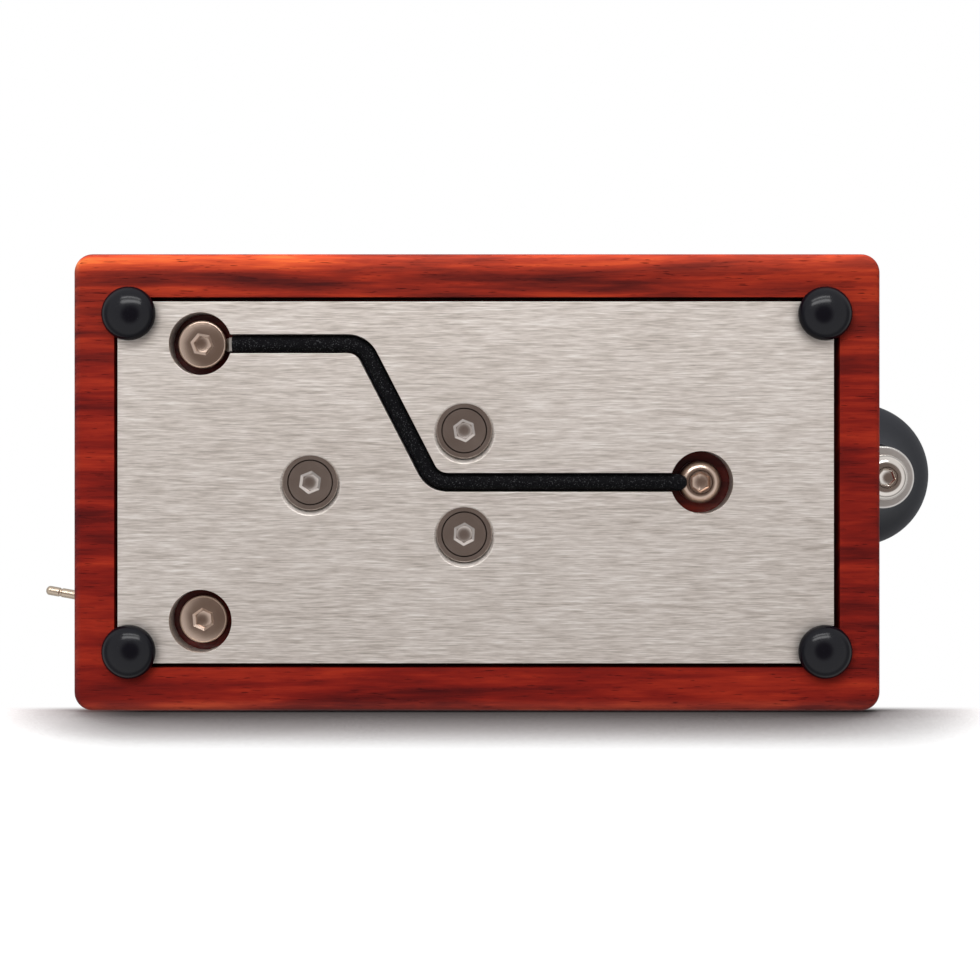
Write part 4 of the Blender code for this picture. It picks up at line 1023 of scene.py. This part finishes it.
def thumb_nut(name, node, teeth, crossed):
    """A knurled thumb nut on a narrower neck, with a dished top."""
    radius, height, spot = measure(node)
    neck = radius - NECK_INSET
    band_low, band_high = NECK_HEIGHT + CHAMFER, height - CHAMFER
    floor, rim = (radius * share for share in DISH_SHARES)
    profile = [
        (SHANK_HOLE, height - 2 * DISH_DEPTH), (SHANK_HOLE + BORE_BEVEL, height - DISH_DEPTH),
        (floor, height - DISH_DEPTH), (rim, height), (radius - CHAMFER, height),
        *band(radius, band_low, band_high, rows=7), (radius - CHAMFER, NECK_HEIGHT),
        (neck + FILLET, NECK_HEIGHT), (neck, NECK_HEIGHT - FILLET), (neck, BREAK), (neck - BREAK, 0),
        (SHANK_HOLE, 0)]
    nut = turned(name, profile, teeth * 2)
    knurl(nut, radius, band_low, band_high, teeth, NUT_KNURL, crossed)
    fit_piece(nut, node, BRASS, spot)


def inset_points(radius, height, steps):
    """Profile points of a groove: steps of inset in millimetres and share of the piece's height."""
    return [(radius - inset * MM, height * share) for inset, share in steps]


def model_terminals():
    for side in ("left", "right"):
        radius, height, spot = measure("terminal_collar_" + side)
        profile = [
            (SHANK_HOLE, height), (radius - CHAMFER, height), (radius, height - CHAMFER),
            *inset_points(radius, height, COLLAR_GROOVE), (radius, CHAMFER), (radius - CHAMFER, 0),
            (SHANK_HOLE, 0)]
        collar = turned("brass_collar_" + side, profile, FINER)
        fit_piece(collar, "terminal_collar_" + side, BRASS, spot)

        radius, height, spot = measure("terminal_washer_" + side)
        washer = turned("brass_washer_" + side, washer_profile(radius, SHANK_HOLE, height, FILLET), FINER)
        fit_piece(washer, "terminal_washer_" + side, BRASS, spot)
        thumb_nut("brass_nut_" + side, "terminal_nut_" + side, teeth=44, crossed=False)


def model_front_contact():
    flange, height, spot = measure("contact_post")
    body = POST_RADIUS
    profile = [
        (0, height), (CONTACT_SEAT, height), (body - CHAMFER, height), (body, height - CHAMFER),
        *inset_points(body, height, POST_GROOVE), (body, POST_FLANGE + FLANGE_FILLET),
        (body + FILLET, POST_FLANGE + FILLET), (body + FLANGE_FILLET, POST_FLANGE),
        (flange - CHAMFER, POST_FLANGE), (flange, POST_FLANGE - CHAMFER),
        (flange, BREAK), (flange - BREAK, 0), (0, 0)]
    fit_piece(turned("brass_post", profile, FINER), "contact_post", BRASS, spot)
    for node, upwards in (("contact_disc", True), ("lever_contact", False)):
        low, high, middle = at(node)
        face = (high.x - low.x) / 2
        crown = [(face - inset * MM, RIVET_DISC - drop * MM) for inset, drop in RIVET_CROWN]
        profile = [
            (0, -RIVET_STEM_LENGTH), (RIVET_STEM, -RIVET_STEM_LENGTH), (RIVET_STEM, 0),
            (face - NICK, 0), (face, NICK), *crown, (0, RIVET_DISC)]
        height = high.z - RIVET_DISC if upwards else low.z + RIVET_DISC
        turn = (0, 0, 0) if upwards else (math.pi, 0, 0)
        fit_piece(turned("silver_" + node, profile), node, SILVER, (middle.x, middle.y, height), turn)


# Bearing frame, pivots and stops

FRAME_CHAMFER = 0.45 * MM
FRAME_CORNER = 2 * MM
FOOT_HEIGHT = 5 * MM            # thickness of the frame's foot
FOOT_LENGTH = 16 * MM
TONGUE_HALF = 7 * MM
CHEEK_LENGTH = 12 * MM
CHEEK_THICKNESS = 6.2 * MM
PIVOT_HOLE = 2.8 * MM
ANVIL_HOLE = 1.8 * MM
HOLE_FLOOR = 1.2 * MM
SAW_WIDTH = 0.9 * MM
SAW_DEPTH = 1.0 * MM
PIVOT_SHANK = 2.5 * MM
PIVOT_HEAD_LENGTH = 3.5 * MM
PIVOT_CUP = 2.155 * MM          # radius of the cup that takes the axle's point
PIVOT_CUP_DEPTH = 2.75 * MM
PIVOT_KNURL = 0.22 * MM
HEAD_BEVEL = 0.9 * MM           # of the knurled heads' faces
GAP_HEAD_BEVEL = 1.1 * MM
NUT_SHARES = 0.87, 1.02         # a hex nut's trimmed faces and its waist, as shares of its corners
NUT_BEVEL = 0.45 * MM
ANVIL_STEM = 1.5 * MM
ANVIL_DISC = 1.5 * MM
ANVIL_EDGE = 0.3 * MM
FACE_EDGE = 0.5 * MM            # how far in the anvil's and the gap screw's faces start
GAP_HEAD_HEIGHT = 4 * MM
GAP_THREAD_LENGTH = 10 * MM


def frame_outline(low, high, pivot_x):
    """The frame's foot on the plan: a broad bar under the cheeks, and a tongue back to the anvil."""
    corner, broad = FRAME_CORNER, high.y
    front, rear = pivot_x + FOOT_LENGTH / 2, pivot_x - FOOT_LENGTH / 2
    outline = []
    for x, y, start, end in (
            (front - corner, broad - corner, 0, 1), (rear + corner, broad - corner, 1, 2),
            (rear - corner, TONGUE_HALF + corner, 4, 3), (low.x + TONGUE_HALF, 0, 1, 3),
            (rear - corner, -TONGUE_HALF - corner, 1, 0), (rear + corner, -broad + corner, 2, 3),
            (front - corner, -broad + corner, 3, 4)):
        radius, steps = (corner, 10) if y else (TONGUE_HALF, 40)
        outline += arc((x, y), radius, start * QUARTER, end * QUARTER, steps)
    return outline


def model_bearing_frame():
    low, high = at("bearing_frame")[:2]
    pivot_x = at("frame_screw_left")[2].x
    pivot_z = at("pivot_screw_left")[2].z
    half, foot_top = CHEEK_LENGTH / 2, low.z + FOOT_HEIGHT
    body = slab("steel_frame", frame_outline(low, high, pivot_x), low.z, foot_top)
    soften(body, FRAME_CHAMFER, 1)
    cheek_outline = [(pivot_x + half, foot_top - OVERRUN), *arc((pivot_x, pivot_z), half, 0, math.pi, 48),
                     (pivot_x - half, foot_top - OVERRUN)]
    for inner in (low.y, high.y - CHEEK_THICKNESS):
        cheek = slab("cheek", [(x, -z) for x, z in cheek_outline], inner, inner + CHEEK_THICKNESS)
        place(cheek, turn=(-QUARTER, 0, 0))
        combine(body, soften(cheek, FRAME_CHAMFER, 1), "UNION")
    reach = high.y + OVERRUN
    combine(body, bar("pivot_hole", PIVOT_HOLE, (pivot_x, -reach, pivot_z), (pivot_x, reach, pivot_z)))
    for node, radius in (("tension_stud", SHANK_HOLE), ("gap_screw", ANVIL_HOLE)):
        drill(body, radius, flat_place(node), low.z + HOLE_FLOOR, foot_top + OVERRUN)
    fit_piece(body, "bearing_frame", FRAME_STEEL)


def slot_head(piece, radius, top):
    """Saw a screwdriver slot across a head whose top is at the given height."""
    reach = radius + OVERRUN
    low, high = (-reach, -SAW_WIDTH / 2, top - SAW_DEPTH), (reach, SAW_WIDTH / 2, top + OVERRUN)
    combine(piece, block("saw", low, high))


def pivot_screw(side, turn):
    """A trunnion screw with a knurled, slotted head and a cupped end, along the pivot's axis."""
    low, high, middle = at("pivot_screw_" + side)
    inner, outer = sorted((abs(low.y), abs(high.y)))
    head, neck, floor = (high.z - low.z) / 2, outer - PIVOT_HEAD_LENGTH, inner + PIVOT_CUP_DEPTH
    band_low, band_high = neck + CHAMFER, outer - CHAMFER - FILLET
    profile = [
        (0, outer), (head - HEAD_BEVEL, outer), (head - CHAMFER, outer - FILLET),
        *band(head, band_low, band_high, rows=6), (head - CHAMFER, neck), (PIVOT_SHANK, neck),
        (PIVOT_SHANK, inner + FILLET), (PIVOT_SHANK - FILLET, inner), (PIVOT_CUP, inner),
        (BREAK, floor), (0, floor)]
    screw = turned("trunnion_screw_" + side, profile, FINER)
    knurl(screw, head, band_low, band_high, teeth=40, depth=PIVOT_KNURL)
    slot_head(screw, head, outer)
    fit_piece(screw, "pivot_screw_" + side, POLISHED, (middle.x, 0, middle.z), turn)


def pivot_lock_nut(side, sign, turn):
    """A hex nut with bevelled corners, against the outside of a cheek."""
    low, high, middle = at("pivot_lock_nut_" + side)
    corner, thickness = (high.x - low.x) / 2, high.y - low.y
    face, waist = (corner * share for share in NUT_SHARES)
    nut = bar("hex_nut_" + side, corner, (0, 0, 0), (0, 0, thickness), 6)
    trim = turned("nut_trim", [
        (0, thickness), (face, thickness), (waist, thickness - NUT_BEVEL),
        (waist, NUT_BEVEL), (face, 0), (0, 0)])
    combine(nut, trim, "INTERSECT")
    drill(nut, PIVOT_HOLE, (0, 0), -OVERRUN, thickness + OVERRUN)
    near = min(abs(low.y), abs(high.y))
    fit_piece(nut, "pivot_lock_nut_" + side, BRIGHT, (middle.x, sign * near, middle.z), turn)


def model_pivots():
    for side, sign in (("left", -1), ("right", 1)):
        turn = (-sign * QUARTER, 0, 0)
        pivot_screw(side, turn)
        pivot_lock_nut(side, sign, turn)


def model_stops():
    radius, top, spot = measure("anvil")
    profile = [
        (0, top), (radius - FACE_EDGE, top), (radius, top - ANVIL_EDGE), (radius, top - ANVIL_DISC),
        (ANVIL_STEM, top - ANVIL_DISC), (ANVIL_STEM, 0), (0, 0)]
    fit_piece(turned("steel_anvil", profile), "anvil", POLISHED, spot)

    head, length, spot = measure("gap_screw")
    neck, shank_low = length - GAP_HEAD_HEIGHT, GAP_THREAD_LENGTH - THREAD_LAP
    band_low, band_high = neck + CHAMFER, length - 2 * CHAMFER
    profile = [
        (0, length), (head - GAP_HEAD_BEVEL, length), (head - FACE_EDGE, length - BREAK),
        *band(head, band_low, band_high, rows=8), (head - CHAMFER, neck), (SHANK, neck), (SHANK, shank_low),
        (0, shank_low)]
    screw = turned("gap_screw_brass", profile, FINEST)
    knurl(screw, head, band_low, band_high, teeth=48, depth=SCREW_KNURL)
    slot_head(screw, head, length)
    combine(screw, thread("gap_thread", SHANK, 0, GAP_THREAD_LENGTH), "UNION")
    fit_piece(screw, "gap_screw", BRASS, spot)

    radius, height, spot = measure("gap_lock_nut")
    band_low, band_high = CHAMFER, height - CHAMFER
    profile = [(SHANK_HOLE, height), (radius - CHAMFER, height), *band(radius, band_low, band_high, rows=4),
               (radius - CHAMFER, 0), (SHANK_HOLE, 0)]
    nut = turned("gap_lock_nut_brass", profile, FINEST)
    knurl(nut, radius, band_low, band_high, teeth=48, depth=SCREW_KNURL)
    fit_piece(nut, "gap_lock_nut", BRASS, spot)


# Return spring and its adjuster

SPRING_CURLS = 6
SPRING_STEPS = 40               # points in one curl
SPRING_RADIUS = 3.15 * MM
SPRING_WIRE = 0.35 * MM         # radius
CLOSED_PITCH = 1.2 * MM
CUP_INNER = 3.8 * MM
CUP_ROOF = 1 * MM
CUP_EDGE = (0.9, 0), (0.3, 0.2), (0, 0.7)       # inset, and drop below its top, in millimetres


def model_spring():
    low, high, middle = at("tension_spring")
    rise = high.z - low.z - 2 * SPRING_WIRE
    open_pitch = (rise - 2 * CLOSED_PITCH) / (SPRING_CURLS - 2)
    deselect()
    curve = bpy.data.curves.new("steel_spring", "CURVE")
    curve.dimensions = "3D"
    curve.bevel_depth = SPRING_WIRE
    curve.bevel_resolution = 3
    curve.use_fill_caps = True
    spline = curve.splines.new("POLY")
    spline.points.add(SPRING_CURLS * SPRING_STEPS)
    for index, knot in enumerate(spline.points):
        curl = index / SPRING_STEPS
        opened = min(max(curl - 1, 0), SPRING_CURLS - 2)
        height = low.z + SPRING_WIRE + opened * open_pitch + (curl - opened) * CLOSED_PITCH
        angle = math.tau * curl
        x, y = middle.x + SPRING_RADIUS * math.cos(angle), middle.y + SPRING_RADIUS * math.sin(angle)
        knot.co = (x, y, height, 1)
    spring = bpy.data.objects.new("steel_spring", curve)
    bpy.context.scene.collection.objects.link(spring)
    pick(spring)
    bpy.ops.object.convert(target="MESH")
    spring = bpy.context.object
    open_edit(spring)
    weld()
    close_edit()
    fit_piece(spring, "tension_spring", BRIGHT)
    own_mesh(spring)


def model_tension_adjuster():
    radius, length, spot = measure("tension_stud")
    fit_piece(thread("threaded_stud", radius, 0, length), "tension_stud", POLISHED, spot)

    outer, height, spot = measure("spring_cup")
    edge = [(outer - inset * MM, height - drop * MM) for inset, drop in CUP_EDGE]
    profile = [
        (SHANK_HOLE, height), *edge, (outer, FILLET), (outer - FILLET, 0), (CUP_INNER, 0),
        (CUP_INNER, height - CUP_ROOF), (SHANK_HOLE, height - CUP_ROOF)]
    fit_piece(turned("brass_cup", profile, FINER), "spring_cup", BRASS, spot)
    thumb_nut("tension_nut_brass", "tension_nut", teeth=50, crossed=True)


# Lever and knob

LEVER_CHAMFER = 0.4 * MM
FRONT_HEIGHT = 5.5 * MM
TAPER_START = 8 * MM
TAPER_END = 57 * MM
STUD_PASSAGE = 2.7 * MM         # radius of the hole that the tension stud passes, and of the spring's seat
SPRING_SEAT = 4 * MM
AXLE_HOLE = 2.3 * MM
RIVET_HOLE = 1.55 * MM
AXLE_RADIUS = 2 * MM
AXLE_TIP = 0.3 * MM
AXLE_POINT = 2.4 * MM           # length of the axle's points
KNOB_BORE_DEPTH = 10.3 * MM
KNOB_STEPS = 128
KNOB_SHARES = (                 # the knob's outer side from crown to foot: shares of its radius and height
    (0.00, 1.000), (0.16, 0.998), (0.30, 0.992), (0.43, 0.983), (0.55, 0.970), (0.66, 0.951),
    (0.76, 0.925), (0.84, 0.893), (0.90, 0.855), (0.945, 0.813), (0.975, 0.770), (0.995, 0.722),
    (1.00, 0.675), (0.992, 0.632), (0.97, 0.595), (0.925, 0.556), (0.87, 0.520), (0.795, 0.481),
    (0.72, 0.440), (0.645, 0.392), (0.58, 0.340), (0.528, 0.281), (0.49, 0.220), (0.464, 0.160),
    (0.45, 0.100), (0.45, 0.012), (0.44, 0.000),
)


def model_lever():
    low, high = at("lever")[:2]
    width = high.y - low.y
    pivot = at("lever_axle")[2]
    gap_x, knob_x = at("gap_screw")[2].x, at("knob")[2].x
    lever = slab("steel_lever", stadium((gap_x, 0), (knob_x, 0), width, 40), low.z, high.z)
    front, front_top, above = high.x + OVERRUN, low.z + FRONT_HEIGHT, high.z + OVERRUN
    reach = width / 2 + OVERRUN
    wedge = [(pivot.x + TAPER_START, high.z), (pivot.x + TAPER_END, front_top), (front, front_top),
             (front, above), (pivot.x + TAPER_START, above)]
    cutter = slab("taper", [(x, -z) for x, z in wedge], -reach, reach)
    combine(lever, place(cutter, turn=(-QUARTER, 0, 0)))
    soften(lever, LEVER_CHAMFER)
    tension_x, contact_x = at("tension_stud")[2].x, at("lever_contact")[2].x
    bottom = low.z - OVERRUN
    for x, radius, start in (
            (gap_x, SHANK_HOLE, bottom), (tension_x, STUD_PASSAGE, bottom), (knob_x, SHANK_HOLE, bottom),
            (tension_x, SPRING_SEAT, high.z - MM)):
        drill(lever, radius, (x, 0), start, above, FINE)
    combine(lever, bar("axle_hole", AXLE_HOLE, (pivot.x, -reach, pivot.z), (pivot.x, reach, pivot.z), MEDIUM))
    drill(lever, RIVET_HOLE, (contact_x, 0), bottom, low.z + RIVET_STEM_LENGTH, COARSE)
    fit_piece(lever, "lever", FRAME_STEEL)

    reach = at("lever_axle")[1].y
    shoulder = reach - AXLE_POINT
    axle = turned("pointed_axle", [
        (0, reach), (AXLE_TIP, reach), (AXLE_RADIUS, shoulder), (AXLE_RADIUS, -shoulder), (AXLE_TIP, -reach),
        (0, -reach)])
    fit_piece(axle, "lever_axle", POLISHED, (pivot.x, 0, pivot.z), (QUARTER, 0, 0))


def model_knob():
    radius, height, spot = measure("knob")
    outer = [(share * radius, rise_share * height) for share, rise_share in KNOB_SHARES]
    bore = [(SHANK_HOLE, 0), (SHANK_HOLE, KNOB_BORE_DEPTH), (0, KNOB_BORE_DEPTH)]
    fit_piece(turned("round_knob", outer + bore, KNOB_STEPS), "knob", PLASTIC, spot)


# Studio

LENS = 56.9
VIEW_SHIFT = -50 / 980          # the photograph's frame lies 50 of its 980 pixels below the camera's axis
CAMERA_PLACE = (-3.18 * MM, -6.3 * MM, -226.7 * MM)
TABLE_GAP = 0.2 * MM
TABLE_RISE = 9 * MM             # how far the table goes on past the floor's level
TABLE_FADE = 5 * MM             # where it starts to fade out
STAGE_REACH = 3.0
SHADOW_REACH = 0.03
PLAIN_FROM, PLAIN_TO = 0.064, 0.098     # from the key's middle
LAMP_TARGET = Vector((0, 0, 0.02))
LAMPS = (                       # name, place, size, power, and whether it shows in the polished faces
    ("window_low", (-0.03, -0.32, -0.43), (0.50, 0.08), 0.85, True),
    ("window_high", (-0.03, -0.42, -0.36), (0.50, 0.05), 0.55, True),
    ("overhead", (0.02, -0.52, 0.12), (0.5, 0.3), 1.9, False),
    ("fill_front", (-0.22, -0.28, -0.50), (0.35, 0.35), 1.9, False),
    ("window_above", (-0.18, -0.34, 0.42), (0.64, 0.50), 1.7, False),
    ("fill_above", (0.40, 0.30, 0.34), (0.4, 0.4), 0.9, False),
)


def pale_surface():
    """Matt white whose glow paints the key's contact shadow from ambient occlusion, reddened there as painted
    bounce light from the wood, turns plain white further off, and is clear from behind.
    """
    paint = Paint(bpy.data.materials.new("pale_surface"))
    output = paint.nodes["Material Output"]
    paint.nodes.remove(paint.nodes["Principled BSDF"])
    distance = paint.node("VectorMath", {"operation": "LENGTH"}, {0: paint.here()}, "Value")
    openness = paint.node("AmbientOcclusion", {"samples": 8}, {"Distance": SHADOW_REACH}, "AO")
    far = paint.between(distance, PLAIN_FROM, PLAIN_TO)
    diffuse = paint.node("BsdfDiffuse", None, {"Color": (0.055, 0.055, 0.055)})
    # Painted shadow: the emission falls with ambient occlusion near the key and turns red there as painted
    # bounce light from the wood
    painted_bounce_tint = paint.mix((1.0, 0.62, 0.60), WHITE, openness)
    light = paint.node("Emission", None, {"Color": painted_bounce_tint, "Strength": openness ** 5.0 + far * 0.9})
    front = paint.node("AddShader", None, {0: diffuse, 1: light})
    clear = paint.node("BsdfTransparent")
    behind = paint.node("NewGeometry", None, None, "Backfacing")
    fade = paint.math("MAXIMUM", behind, paint.between(paint.axis("Z"), TABLE_FADE, TABLE_RISE))
    surface = paint.node("MixShader", None, {0: fade, 1: front, 2: clear})
    paint.links.new(surface.socket, output.inputs["Surface"])
    return paint.owner


def build_stage():
    """A floor under the feet for the other views, and the table that the key's right side lies on.

    Both are seen by the camera only: they throw no light or shadow on the key.
    """
    surface = pale_surface()
    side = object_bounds()[1].y + TABLE_GAP
    for name, location, turn in (
            ("floor", (0, 0, 0), (0, 0, 0)),
            ("table", (0, side, TABLE_RISE - STAGE_REACH / 2), (QUARTER, 0, 0))):
        deselect()
        bpy.ops.mesh.primitive_plane_add(size=STAGE_REACH)
        piece = place(name_new(name), location, turn)
        piece.data.materials.append(surface)
        piece.visible_diffuse = False
        piece.visible_glossy = False
        piece.visible_transmission = False
        piece.visible_shadow = False


def build_world():
    """White to the camera, an even light on the key, and a pale studio with a dark corner in reflections."""
    paint = Paint(bpy.data.worlds.new("studio"))
    bpy.context.scene.world = paint.owner
    for old in list(paint.nodes):
        paint.nodes.remove(old)
    rays = paint.nodes.new("ShaderNodeLightPath")
    camera = Shade(paint, rays.outputs["Is Camera Ray"])
    mirror = Shade(paint, rays.outputs["Is Glossy Ray"]) + Shade(paint, rays.outputs["Is Transmission Ray"])
    direction = paint.node("TexCoord", None, None, "Generated")
    up = paint.node("SeparateXYZ", None, {0: direction}, "Z")
    right = paint.node("SeparateXYZ", None, {0: direction}, "Y")
    down = up * -1
    sky = paint.ramp(up, ((0.0, WHITE), (0.12, WHITE), (0.45, (0.50, 0.51, 0.52)), (1.0, (0.62, 0.62, 0.63))))
    ground = paint.tint((0.95, 0.95, 0.96), 0.94 + paint.between(right, -0.35, 0.55) * 0.10)
    level = paint.between(up, -0.46, -0.24) * (1 - paint.between(up, 0.0, 0.12))
    unlit = paint.between(right, -0.75, -0.05) * level
    studio = paint.tint(paint.mix(sky, ground, paint.between(down, -0.03, 0.10)), 1 - unlit * 0.60)
    studio = paint.mix(studio, (0.175, 0.14, 0.125), paint.between(down, 0.875, 0.965))
    even = paint.node("Background", None, {"Color": (0.985, 0.99, 1.0), "Strength": 0.50})
    seen = paint.node("Background", None, {"Color": WHITE, "Strength": 1.0})
    reflected = paint.node("Background", None, {"Color": studio, "Strength": 1.0})
    lit = paint.node("MixShader", None, {0: mirror, 1: even, 2: reflected})
    result = paint.node("MixShader", None, {0: camera, 1: lit, 2: seen})
    output = paint.nodes.new("ShaderNodeOutputWorld")
    paint.links.new(result.socket, output.inputs["Surface"])


def build_lamps():
    """Rectangular lamps aimed at the key."""
    for name, location, size, power, mirrored in LAMPS:
        lamp = bpy.data.lights.new(name, "AREA")
        lamp.shape = "RECTANGLE"
        lamp.size, lamp.size_y = size
        lamp.energy = power
        holder = bpy.data.objects.new(name, lamp)
        holder.location = location
        holder.rotation_euler = (LAMP_TARGET - Vector(location)).to_track_quat("-Z", "Y").to_euler()
        holder.visible_glossy = mirrored
        bpy.context.scene.collection.objects.link(holder)


def build_camera():
    camera = bpy.data.cameras.new("camera")
    camera.lens = LENS
    camera.sensor_width = 36
    camera.shift_y = VIEW_SHIFT
    camera.clip_start = 0.01
    holder = bpy.data.objects.new("camera", camera)
    holder.location = CAMERA_PLACE
    holder.rotation_euler = (math.pi, 0, 0)
    bpy.context.scene.collection.objects.link(holder)
    bpy.context.scene.camera = holder


build_camera()
model_wood_base()
model_steel_plate()
model_feet()
model_frame_screws()
model_terminal_screws()
button_screw("contact_screw", "contact_button", CONTACT_HEAD_HEIGHT, NICKEL)
model_link_wire()
model_lug("lug_terminal", "terminal_screw_left", 0)
model_lug("lug_contact", "contact_screw", math.pi)
model_link_strip()
model_connection_pin()
model_terminals()
model_front_contact()
model_bearing_frame()
model_pivots()
model_stops()
model_spring()
model_tension_adjuster()
model_lever()
model_knob()
button_screw("knob_screw", "knob_button", KNOB_HEAD_HEIGHT, POLISHED)
build_stage()
build_world()
build_lamps()

bpy.context.scene.view_settings.view_transform = "Standard"
